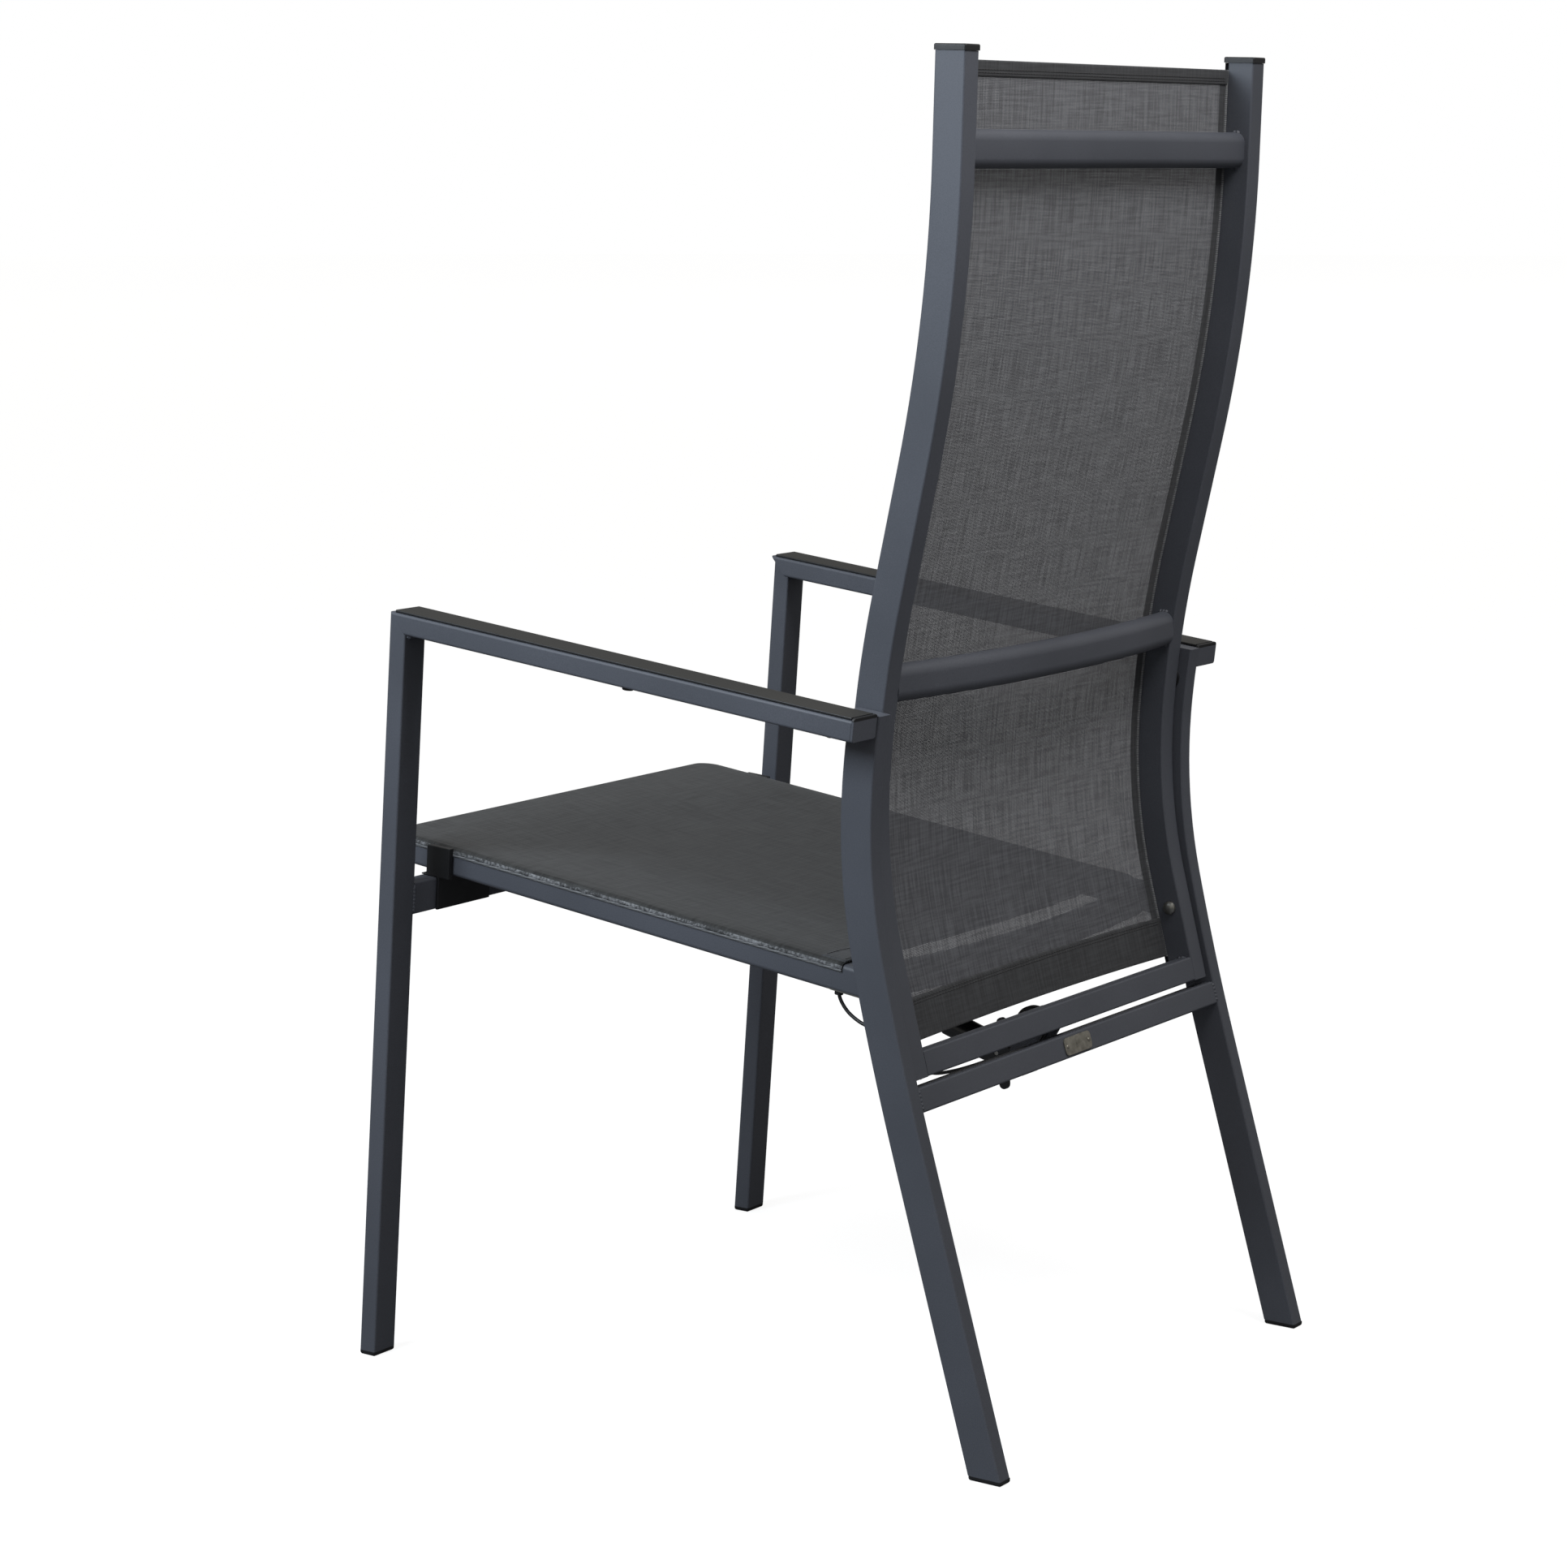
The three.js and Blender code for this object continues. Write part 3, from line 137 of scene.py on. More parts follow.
# Each lamp has its name, its place and aim in metres, its size, its power in watts and its colour.
LIGHTS = (("broad_light", (1.65, -0.45, 1.7), (0.1, 0.0, 0.5), 1.0, 34.0, (0.82, 0.91, 1.0)),
          ("rear_light", (0.15, 1.0, 2.0), (0.0, 0.3, 1.0), 0.6, 13.0, (1.0, 0.99, 0.99)))
for name, place, aim, size, power, tone in LIGHTS:
    lamp = bpy.data.objects.new(name, bpy.data.lights.new(name, "AREA"))
    lamp.data.shape, lamp.data.size, lamp.data.energy, lamp.data.color = "SQUARE", size, power, tone
    lamp.location = place
    lamp.rotation_euler = (Vector(aim) - Vector(place)).to_track_quat("-Z", "Y").to_euler()
    bpy.context.scene.collection.objects.link(lamp)

# The release cable: a black sheathed cable in two stretches that show. One loops from under the seat rail to
# the left post's front. The other runs from the post's inner face to the spring.
# Places are in millimetres from the front feet, and SETBACK takes them to the frame, by the recline pivots.
MM = 0.001
PIVOT_Y = 497.0
SETBACK = sum(corner.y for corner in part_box("left_pivot_bolt")) / 2 / MM - PIVOT_Y
CABLE = 3.0
LOOP_X, EAR_END, POST_END = 225.0, 17.0, 216.2
CABLE_LOOP = [(460.2, 370.4), (460.6, 366.6), (463, 361.6), (468, 355.6), (475, 350.6), (484, 346.6),
              (494, 344.9), (503.2, 346)]
CABLE_RUN = [(1, 514.9, 321.2), (0.97, 514.3, 320), (0.895, 511, 313.5), (0.768, 504.5, 301),
             (0.618, 498, 291.4), (0.467, 495, 286.8), (0.317, 493, 284.4), (0.167, 491.4, 283.2),
             (0.056, 490.4, 282.6), (0, 490, 282.4)]
cable_sheath, tree = material("black_cable_sheath")
place = node(tree, "ShaderNodeTexCoord")
scuff = node(tree, "ShaderNodeTexNoise", {"Vector": place.outputs["Object"]}, {"Scale": 400.0, "Detail": 3.0})
shade = node(tree, "ShaderNodeMix", {"Factor": scuff.outputs["Fac"]}, {6: linear("#0b0c0d"), 7: linear("#17181a")},
             data_type="RGBA")
rough = node(tree, "ShaderNodeMapRange", {"Value": scuff.outputs["Fac"]}, {"To Min": 0.35, "To Max": 0.55})
bump = node(tree, "ShaderNodeBump", {"Height": scuff.outputs["Fac"]}, {"Strength": 0.15, "Distance": 0.05 * MM})
surface = node(tree, "ShaderNodeBsdfPrincipled",
               {"Base Color": shade.outputs[2], "Roughness": rough.outputs[0], "Normal": bump.outputs[0]},
               {"IOR": 1.5})
node(tree, "ShaderNodeOutputMaterial", {"Surface": surface.outputs[0]})


def smooth_route(places, steps=6):
    """Points along the smooth curve through some places, in metres in the chair's frame."""
    route = []
    for i in range(len(places) - 1):
        before, a, b, after = places[max(i - 1, 0)], places[i], places[i + 1], places[min(i + 2, len(places) - 1)]
        for step in range(steps + (i == len(places) - 2)):
            t = step / steps
            route.append((2 * a + (b - before) * t + (2 * before - 5 * a + 4 * b - after) * t * t
                          + (3 * a - before - 3 * b + after) * t * t * t) / 2)
    return [(point + Vector((0, SETBACK, 0))) * MM for point in route]


def sheathed_cable(name, route, sides=12):
    """A round tube along a route, closed at both ends, and the route's length."""
    bm = bmesh.new()
    rings, across = [], None
    for i, point in enumerate(route):
        along = (route[min(i + 1, len(route) - 1)] - route[max(i - 1, 0)]).normalized()
        across = (across or Vector((1, 0, 0)).cross(along) or Vector((0, 0, 1)).cross(along))
        across = (across - along * across.dot(along)).normalized()
        lift = along.cross(across)
        angles = [2 * math.pi * k / sides for k in range(sides)]
        rings.append([bm.verts.new(point + (across * math.cos(t) + lift * math.sin(t)) * CABLE / 2 * MM)
                      for t in angles])
    for ring, following in zip(rings, rings[1:]):
        for k in range(sides):
            bm.faces.new((ring[k], ring[(k + 1) % sides], following[(k + 1) % sides], following[k]))
    bm.faces.new(rings[0][::-1])
    bm.faces.new(rings[-1])
    bmesh.ops.recalc_face_normals(bm, faces=bm.faces)
    mesh = bpy.data.meshes.new(name)
    bm.to_mesh(mesh)
    bm.free()
    mesh.materials.append(cable_sheath)
    mesh.polygons.foreach_set("use_smooth", [True] * len(mesh.polygons))
    mesh.set_sharp_from_angle(angle=math.radians(50))
    made = bpy.data.objects.new(name, mesh)
    bpy.context.scene.collection.objects.link(made)
    return made, sum((b - a).length for a, b in zip(route, route[1:]))


loop_route = smooth_route([Vector((LOOP_X, *place)) for place in CABLE_LOOP])
loop, length = sheathed_cable("seat_cable_loop", loop_route)
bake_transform(loop)
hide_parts("release_cable_loop")
run_route = smooth_route([Vector((EAR_END + (POST_END - EAR_END) * share, y, z)) for share, y, z in CABLE_RUN])
run, length = sheathed_cable("spring_cable_run", run_route)
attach(run, "back")
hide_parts("release_cable_run")

# Powder-coated aluminium tube. The coat is a satin polyester powder: a dull sheen, a bluish anthracite,
# and a fine pebbling that catches the light along the corners.
POWDER_DARK, POWDER_LIGHT = "#4a4d54", "#575a62"
POWDER_PEBBLE, POWDER_CLOUD = 0.9, 160.0
anthracite, tree = material("polyester_powder_coat")
place = node(tree, "ShaderNodeTexCoord")
pebble = node(tree, "ShaderNodeTexNoise", {"Vector": place.outputs["Object"]},
              {"Scale": 1 / (POWDER_PEBBLE * MM), "Detail": 2.0, "Roughness": 0.6})
cloud = node(tree, "ShaderNodeTexNoise", {"Vector": place.outputs["Object"]},
             {"Scale": 1 / (POWDER_CLOUD * MM), "Detail": 3.0})
both = node(tree, "ShaderNodeMath", {0: pebble.outputs["Fac"], 1: cloud.outputs["Fac"]}, operation="MULTIPLY")
spread = node(tree, "ShaderNodeMapRange", {"Value": both.outputs[0]}, {"From Min": 0.12, "From Max": 0.4})
colour = node(tree, "ShaderNodeMix", {"Factor": spread.outputs[0]},
              {6: linear(POWDER_DARK), 7: linear(POWDER_LIGHT)}, data_type="RGBA")
rough = node(tree, "ShaderNodeMapRange", {"Value": pebble.outputs["Fac"]}, {"To Min": 0.42, "To Max": 0.58})
bump = node(tree, "ShaderNodeBump", {"Height": pebble.outputs["Fac"]}, {"Strength": 0.25, "Distance": 0.1 * MM})
surface = node(tree, "ShaderNodeBsdfPrincipled",
               {"Base Color": colour.outputs[2], "Roughness": rough.outputs[0], "Normal": bump.outputs[0]},
               {"IOR": 1.5, "Specular IOR Level": 0.4})
node(tree, "ShaderNodeOutputMaterial", {"Surface": surface.outputs[0]})

# Front legs: rectangular aluminium tube, mitred and welded to the armrests, and cut level over the caps.
# Every tube of the frame is drawn as a bender makes it: a rounded section pushed straight, then swung
# through each bend.
TUBE_CORNER = 1.8
FRAME_WIDTH = 583.0
FRONT_LEG, FRONT_LEAN = (27.0, 17.0), math.radians(4.39)
CAP_HEIGHT = 4.0
ARM_UNDERSIDE, ARM_HEIGHT, ARM_FALL = 642.8, 17.55, math.radians(6.56)
SAWN_OFF = 30.0


def upward(lean):
    """Along a tube that leans rearward by so much from upright."""
    return Vector((0, math.sin(lean), math.cos(lean)))


def rearward(lean):
    """Square to a leaning tube, towards the rear."""
    return Vector((0, math.cos(lean), -math.sin(lean)))


def section(width, depth, corner, segments=4):
    """A flat rounded rectangle across X and Y, ready to be pushed along."""
    bm = bmesh.new()
    bmesh.ops.create_grid(bm, x_segments=1, y_segments=1, size=0.5)
    bmesh.ops.scale(bm, vec=(width, depth, 1), verts=bm.verts)
    bmesh.ops.bevel(bm, geom=bm.verts[:], offset=corner, offset_type="OFFSET", affect="VERTICES",
                    segments=segments, profile=0.5, material=-1)
    return bm


def push(bm, face, move):
    """Extrudes the end face by a straight run, and returns the new end face."""
    made = bmesh.ops.extrude_face_region(bm, geom=[face])["geom"]
    bmesh.ops.translate(bm, vec=move, verts=[part for part in made if isinstance(part, bmesh.types.BMVert)])
    return next(part for part in made if isinstance(part, bmesh.types.BMFace))


def bent(bm, foot, lean, runs, steps=10, line=None):
    """Carries a flat section up from its foot: runs of (length, turn), the turns bending it rearward. The
    bends are those of a tube whose middle starts at line, where that isn't the section's own foot."""
    bmesh.ops.rotate(bm, cent=(0, 0, 0), matrix=Matrix.Rotation(-lean, 3, "X"), verts=bm.verts)
    bmesh.ops.translate(bm, vec=foot, verts=bm.verts)
    face, place = bm.faces[:][0], Vector(foot if line is None else line)
    for length, turn in runs:
        if turn == 0:
            face = push(bm, face, upward(lean) * length)
            place = place + upward(lean) * length
            continue
        centre = place + rearward(lean) * (length / turn)
        made = bmesh.ops.spin(bm, geom=[face], cent=centre, axis=(-1, 0, 0), angle=turn, steps=steps)["geom_last"]
        face = next(part for part in made if isinstance(part, bmesh.types.BMFace))
        place = centre - rearward(lean + turn) * (length / turn)
        lean += turn
    return bm


def trim(bm, point, outward):
    """Saws the mesh off at a plane and closes the cut."""
    cut = bmesh.ops.bisect_plane(bm, geom=bm.verts[:] + bm.edges[:] + bm.faces[:], dist=1e-5,
                                 plane_co=point, plane_no=outward, clear_outer=True)["geom_cut"]
    bmesh.ops.holes_fill(bm, edges=[part for part in cut if isinstance(part, bmesh.types.BMEdge)], sides=0)


def mirrored(bm):
    """A copy on the other side of the chair, turned the right way out again."""
    copy = bm.copy()
    bmesh.ops.scale(copy, vec=(-1, 1, 1), verts=copy.verts)
    bmesh.ops.reverse_faces(copy, faces=copy.faces)
    return copy


def piece(name, bm, finish, body, slot, nodes=(), sharp=35.0, weighted=True):
    """Turns a mesh in millimetres into a piece of the chair that stands for its CAD nodes."""
    bmesh.ops.remove_doubles(bm, verts=bm.verts, dist=1e-4)
    bmesh.ops.recalc_face_normals(bm, faces=bm.faces)
    bmesh.ops.translate(bm, vec=(0, SETBACK, 0), verts=bm.verts)
    bmesh.ops.scale(bm, vec=(MM, MM, MM), verts=bm.verts)
    mesh = bpy.data.meshes.new(name)
    bm.to_mesh(mesh)
    bm.free()
    mesh.materials.append(finish)
    mesh.polygons.foreach_set("use_smooth", [True] * len(mesh.polygons))
    mesh.set_sharp_from_angle(angle=math.radians(sharp))
    made = bpy.data.objects.new(name, mesh)
    bpy.context.scene.collection.objects.link(made)
    if weighted:
        made.modifiers.new("even_flats", "WEIGHTED_NORMAL").keep_sharp = True
    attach(made, body)
    if nodes:
        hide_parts(*nodes)
    return made


def pair(name, bm, finish, body, slot, nodes=(), **how):
    """The left piece and its mirror image; nodes are the CAD names without their side."""
    other = mirrored(bm)
    return (piece(f"left_{name}", bm, finish, body, slot, [f"left_{n}" for n in nodes], **how),
            piece(f"right_{name}", other, finish, body, slot, [f"right_{n}" for n in nodes], **how))


def meeting(point, along, other, other_along):
    """Where two lines of the side view cross."""
    cross = along.y * other_along.z - along.z * other_along.y
    gap = other - point
    return point + along * ((gap.y * other_along.z - gap.z * other_along.y) / cross)


leg_up, arm_along, arm_up = upward(FRONT_LEAN), rearward(ARM_FALL), upward(ARM_FALL)
arm_low = Vector((0, 0, ARM_UNDERSIDE))
outer_corner = meeting(Vector((0, 0, 0)), leg_up, arm_low + arm_up * ARM_HEIGHT, arm_along)
inner_corner = meeting(rearward(FRONT_LEAN) * FRONT_LEG[1], leg_up, arm_low, arm_along)
mitre = (inner_corner - outer_corner).normalized()
above_mitre = Vector((0, -mitre.z, mitre.y))
leg_floor = meeting(rearward(FRONT_LEAN) * FRONT_LEG[1] / 2, leg_up, Vector((0, 0, 0)), Vector((0, 1, 0)))
leg_x = FRAME_WIDTH / 2 - FRONT_LEG[0] / 2
bm = bent(section(*FRONT_LEG, TUBE_CORNER), Vector((leg_x, leg_floor.y, 0)), FRONT_LEAN,
          [(outer_corner.z + SAWN_OFF, 0)])
trim(bm, outer_corner, above_mitre)
trim(bm, (0, 0, CAP_HEIGHT), (0, 0, -1))
pair("front_leg_tube", bm, anthracite, "base", "frame", ["front_leg"])

# Armrests: a flat tube each, running in a little towards the rear, where it is welded to the rear leg. Its
# front end is mitred over the front leg.
ARM_REAR_OUTER, REAR_LEG_OUTER, ARM_END = 288.1, 254.8, 515.6
ARM_TO_LEG = 0.3
ARM_WIDTH = ARM_REAR_OUTER - REAR_LEG_OUTER - ARM_TO_LEG
ARM_CORNER, ARM_CAP = 2.5, 2.6
TOE_IN = (FRAME_WIDTH / 2 - ARM_REAR_OUTER) / (ARM_END - outer_corner.y)


def on_arm(y, lift):
    """The middle of the arm's width at a distance back, so far above its underside."""
    level = meeting(arm_low + arm_up * lift, arm_along, Vector((0, y, 0)), Vector((0, 0, 1)))
    return Vector((FRAME_WIDTH / 2 - TOE_IN * (y - outer_corner.y) - ARM_WIDTH / 2, y, level.z))


def arm_bar(width, height, corner, start, end, lift):
    """A bar along the arm between two distances, with its section square to it."""
    a, b = on_arm(start, lift), on_arm(end, lift)
    bm = section(width, height, corner)
    push(bm, bm.faces[:][0], (0, 0, (b - a).length))
    along = (b - a).normalized()
    across = Vector((0, 0, 1)).cross(along).normalized()
    turn = Matrix((across, along.cross(across), along)).transposed().to_4x4()
    bmesh.ops.transform(bm, matrix=Matrix.Translation(a) @ turn, verts=bm.verts)
    return bm


arm_front = outer_corner.y - FRONT_LEG[1]
bm = arm_bar(ARM_WIDTH, ARM_HEIGHT, ARM_CORNER, arm_front, ARM_END - ARM_CAP, ARM_HEIGHT / 2)
trim(bm, outer_corner, -above_mitre)
pair("armrest_tube", bm, anthracite, "base", "frame", ["armrest"])

# Moulded black polypropylene, for the pads' sides and ends, the caps and the other small mouldings. It keeps the
# fine leathery grain that its mould was etched with, and a dull sheen.
MOULD_GRAIN = 0.7
black_moulding, tree = material("moulded_black_polypropylene")
place = node(tree, "ShaderNodeTexCoord")
pits = node(tree, "ShaderNodeTexVoronoi", {"Vector": place.outputs["Object"]}, {"Scale": 1 / (MOULD_GRAIN * MM)})
patch = node(tree, "ShaderNodeTexNoise", {"Vector": place.outputs["Object"]}, {"Scale": 90.0, "Detail": 3.0})
rough = node(tree, "ShaderNodeMapRange", {"Value": patch.outputs["Fac"]}, {"To Min": 0.42, "To Max": 0.58})
shade = node(tree, "ShaderNodeMapRange", {"Value": pits.outputs["Distance"]}, {"To Min": 0.85, "To Max": 1.15})
tone = node(tree, "ShaderNodeHueSaturation", {"Value": shade.outputs[0]}, {"Color": linear("#18191b")})
bump = node(tree, "ShaderNodeBump", {"Height": pits.outputs["Distance"]}, {"Strength": 0.2, "Distance": 0.05 * MM})
surface = node(tree, "ShaderNodeBsdfPrincipled",
               {"Base Color": tone.outputs[0], "Roughness": rough.outputs[0], "Normal": bump.outputs[0]},
               {"IOR": 1.49})
node(tree, "ShaderNodeOutputMaterial", {"Surface": surface.outputs[0]})

# Armrest pads: a black moulded strip along the whole arm. Its top faces are drawn brown-grey, lighter than its black
# sides: painted sheen of the light from above. The top is brushed along its length, which leaves fine streaks.
PAD_THICKNESS, PAD_INSET, PAD_FRONT, PAD_CORNER = 2.2, 1.2, 5.0, 0.8
PAD_STREAK, PAD_STREAK_LENGTH = 0.8, 30.0
FACES_UP = 0.8
pad_top_painted_sheen, tree = material("brushed_moulded_pad_painted_sheen")
place = node(tree, "ShaderNodeTexCoord")
stretch = node(tree, "ShaderNodeMapping", {"Vector": place.outputs["Object"]},
               {"Scale": (1 / (PAD_STREAK * MM), 1 / (PAD_STREAK_LENGTH * MM), 1 / (PAD_STREAK * MM))})
streak = node(tree, "ShaderNodeTexNoise", {"Vector": stretch.outputs[0]}, {"Scale": 1.0, "Detail": 3.0})
shade = node(tree, "ShaderNodeMix", {"Factor": streak.outputs["Fac"]},
             {6: linear("#1c1c1a"), 7: linear("#2e2d2a")}, data_type="RGBA")
rough = node(tree, "ShaderNodeMapRange", {"Value": streak.outputs["Fac"]}, {"To Min": 0.5, "To Max": 0.7})
bump = node(tree, "ShaderNodeBump", {"Height": streak.outputs["Fac"]}, {"Strength": 0.3, "Distance": 0.1 * MM})
surface = node(tree, "ShaderNodeBsdfPrincipled",
               {"Base Color": shade.outputs[2], "Roughness": rough.outputs[0], "Normal": bump.outputs[0]},
               {"IOR": 1.49})
node(tree, "ShaderNodeOutputMaterial", {"Surface": surface.outputs[0]})

bm = arm_bar(ARM_WIDTH - 2 * PAD_INSET, PAD_THICKNESS, PAD_CORNER, outer_corner.y + PAD_FRONT, ARM_END - ARM_CAP,
             ARM_HEIGHT + PAD_THICKNESS / 2)
for part in pair("arm_pad", bm, pad_top_painted_sheen, "base", "inlay", ["arm_inlay"]):
    # Faces turned up take the brown-grey top, all others the black moulding: the top's lighter colour is painted
    # sheen.
    part.data.materials.append(black_moulding)
    for face in part.data.polygons:
        face.material_index = 0 if face.normal.z > FACES_UP else 1

# Armrest ends: each arm is closed by a welded and coated plate, and the pad's moulded end comes down over its
# top edge.
CAP_EASE = 0.7
END_SEAM = ARM_HEIGHT - 0.6


def eased(bm, size, segments=3, angle=30.0):
    """Rounds every edge that turns by more than an angle."""
    edges = [edge for edge in bm.edges if len(edge.link_faces) == 2 and edge.calc_face_angle() > math.radians(angle)]
    bmesh.ops.bevel(bm, geom=edges, offset=size, offset_type="OFFSET", affect="EDGES", segments=segments,
                    profile=0.5, material=-1, clamp_overlap=True)


bm = arm_bar(ARM_WIDTH, ARM_HEIGHT + PAD_THICKNESS, ARM_CORNER, ARM_END - ARM_CAP, ARM_END,
             (ARM_HEIGHT + PAD_THICKNESS) / 2)
eased(bm, CAP_EASE, angle=60)
bmesh.ops.bisect_plane(bm, geom=bm.verts[:] + bm.edges[:] + bm.faces[:], dist=1e-5,
                       plane_co=arm_low + arm_up * END_SEAM, plane_no=arm_up)
for part in pair("arm_end", bm, anthracite, "base", "frame", ["arm_end_cap"]):
    part.data.materials.append(black_moulding)
    for face in part.data.polygons:
        middle_up = (face.center / MM - Vector((0, SETBACK, 0)) - arm_low).dot(arm_up)
        face.material_index = 1 if middle_up > END_SEAM else 0

# Rear legs: flat rectangular tube, straight from the floor and then bent three times so that they rise
# beside the back posts to the armrests' top.
REAR_LEG = (15.5, 29.4)
REAR_FOOT, REAR_LEAN = 620.1, math.radians(-16.3)
REAR_RUNS = [(266.3, 0), (148.3, math.radians(3.46)), (146.3, math.radians(16.8)), (70.0, math.radians(6.56))]
rear_x = REAR_LEG_OUTER - REAR_LEG[0] / 2
bm = bent(section(*REAR_LEG, TUBE_CORNER), Vector((rear_x, REAR_FOOT, 0)), REAR_LEAN, REAR_RUNS)
trim(bm, arm_low + arm_up * ARM_HEIGHT, arm_up)
trim(bm, (0, 0, CAP_HEIGHT), (0, 0, -1))
pair("rear_leg_tube", bm, anthracite, "base", "frame", ["rear_leg"])

# Foot caps: thin black moulded plugs, pressed into the tubes' ends, with a sole rounded at its rim. They are
# flush with the tubes.
SOLE_ROUNDING = 2.4
for name, (width, depth), lean, x, y in (("front", FRONT_LEG, FRONT_LEAN, leg_x, leg_floor.y),
                                         ("rear", REAR_LEG, REAR_LEAN, rear_x, REAR_FOOT)):
    bm = section(width, depth / math.cos(lean), TUBE_CORNER)
    push(bm, bm.faces[:][0], (0, 0, CAP_HEIGHT))
    sole = [edge for edge in bm.edges if all(vert.co.z < 0.1 for vert in edge.verts)]
    bmesh.ops.bevel(bm, geom=sole, offset=SOLE_ROUNDING, offset_type="OFFSET", affect="EDGES", segments=4,
                    profile=0.5, material=-1)
    bmesh.ops.translate(bm, vec=(x, y + CAP_HEIGHT / 2 * math.tan(lean), 0), verts=bm.verts)
    pair(f"{name}_foot_plug", bm, black_moulding, "base", "plastic", [f"{name}_foot_cap"])

# Cross rails of the base: a tall one between the front legs, which the seat's glides sit on, and a square
# one between the rear legs. Both are butt-welded to the legs' inner faces.
FRONT_RAIL, REAR_RAIL = (17.0, 28.1), (20.0, 20.0)
RAIL_WELD, ARM_WELD, ARM_WELD_HALF, RIPPLE = 1.7, 2.6, 11.0, 1.6
LEG_UNDER_ARM, LEG_UNDER_ARM_LEAN = Vector((0, PIVOT_Y, 575)), Vector((0, 0.1, 1))


def middle(name):
    """The middle of a CAD node's box, in millimetres from the front feet."""
    low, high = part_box(name)
    return (low + high) / 2 / MM - Vector((0, SETBACK, 0))


def cross_tube(depth, height, corner, half, centre, lean):
    """A level tube across the chair, its section leaning rearward by so much."""
    bm = section(height, depth, corner)
    push(bm, bm.faces[:][0], (0, 0, 2 * half))
    turn = Matrix.Rotation(-lean, 4, "X") @ Matrix.Rotation(math.pi / 2, 4, "Y")
    bmesh.ops.transform(bm, matrix=Matrix.Translation(Vector(centre) - Vector((half, 0, 0))) @ turn, verts=bm.verts)
    return bm


def weld(points, size):
    """A weld bead along a seam: a rippled round bead, half sunk into the joint."""
    bm = bmesh.new()
    start, along = Vector(points[0]), (Vector(points[1]) - Vector(points[0]))
    ripples = max(4, round(along.length / RIPPLE))
    bmesh.ops.create_circle(bm, cap_ends=True, segments=10, radius=size * 0.6)
    face = bm.faces[:][0]
    for step in range(ripples):
        face = push(bm, face, (0, 0, along.length / ripples))
        grow = 1.0 if step == ripples - 1 else (1.18 if step % 2 == 0 else 0.9)
        reach = max((vert.co.xy - face.calc_center_median().xy).length for vert in face.verts)
        bmesh.ops.scale(bm, vec=(size * grow / reach, size * grow / reach, 1),
                        space=Matrix.Translation(-face.calc_center_median()), verts=face.verts[:])
    bmesh.ops.scale(bm, vec=(0.6, 0.6, 1), space=Matrix.Translation(-face.calc_center_median()), verts=face.verts[:])
    turn = along.to_track_quat("Z", "Y").to_matrix().to_4x4()
    bmesh.ops.transform(bm, matrix=Matrix.Translation(start) @ turn, verts=bm.verts)
    return bm


def merged(*meshes):
    """Several meshes as one."""
    whole = bmesh.new()
    for bm in meshes:
        part = bpy.data.meshes.new("part")
        bm.to_mesh(part)
        bm.free()
        whole.from_mesh(part)
        bpy.data.meshes.remove(part)
    return whole


front_rail = middle("front_cross_rail")
rear_rail = middle("rear_cross_rail")
leg_inner, rear_inner = FRAME_WIDTH / 2 - FRONT_LEG[0], REAR_LEG_OUTER - REAR_LEG[0]
piece("front_cross_tube", cross_tube(*FRONT_RAIL, TUBE_CORNER, leg_inner, front_rail, FRONT_LEAN), anthracite,
      "base", "frame", ["front_cross_rail"])
piece("rear_cross_tube", cross_tube(*REAR_RAIL, TUBE_CORNER, rear_inner, rear_rail, REAR_LEAN), anthracite,
      "base", "frame", ["rear_cross_rail"])
seams = []
for sign_y in (-1, 1):
    for centre, (depth, height), lean, x in ((front_rail, FRONT_RAIL, FRONT_LEAN, leg_inner),
                                             (rear_rail, REAR_RAIL, REAR_LEAN, rear_inner)):
        face = Vector((x, 0, 0)) + Vector((0, *centre.yz)) + rearward(lean) * (sign_y * (depth / 2 - 0.8))
        rise = upward(lean) * (height / 2 - TUBE_CORNER)
        seams.append(weld((face - rise, face + rise), RAIL_WELD))
rear_seam = meeting(arm_low, arm_along, LEG_UNDER_ARM, LEG_UNDER_ARM_LEAN)
seams.append(weld([Vector((REAR_LEG_OUTER, rear_seam.y + reach, rear_seam.z + rise))
                   for reach, rise in ((-ARM_WELD_HALF, 1.3), (ARM_WELD_HALF, -1.2))], ARM_WELD))
seams.append(weld([inner_corner + Vector((leg_x + reach, 0.4, -0.4))
                   for reach in (-ARM_WELD_HALF, ARM_WELD_HALF)], ARM_WELD))
pair("base_welds", merged(*seams), anthracite, "base", "frame")

# Glides: black moulded shoes, clipped over the front cross rail, that the seat rails slide along. Each has
# a cheek beside its rail and a flap down the cross rail's rear.
GLIDE_EASE = 0.8


def from_cad(name):
    """A copy of a CAD node in millimetres, its loose triangles merged back into flat faces."""
    bm = bmesh.new()
    bm.from_mesh(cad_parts[name].data)
    bmesh.ops.remove_doubles(bm, verts=bm.verts, dist=1e-6)
    bmesh.ops.scale(bm, vec=(1 / MM, 1 / MM, 1 / MM), verts=bm.verts)
    bmesh.ops.translate(bm, vec=(0, -SETBACK, 0), verts=bm.verts)
    bmesh.ops.dissolve_limit(bm, angle_limit=math.radians(0.5), verts=bm.verts, edges=bm.edges)
    return bm


for side in ("left", "right"):
    bm = from_cad(f"{side}_seat_glide")
    eased(bm, GLIDE_EASE, angle=60)
    piece(f"{side}_glide_shoe", bm, black_moulding, "base", "plastic", [f"{side}_seat_glide"])

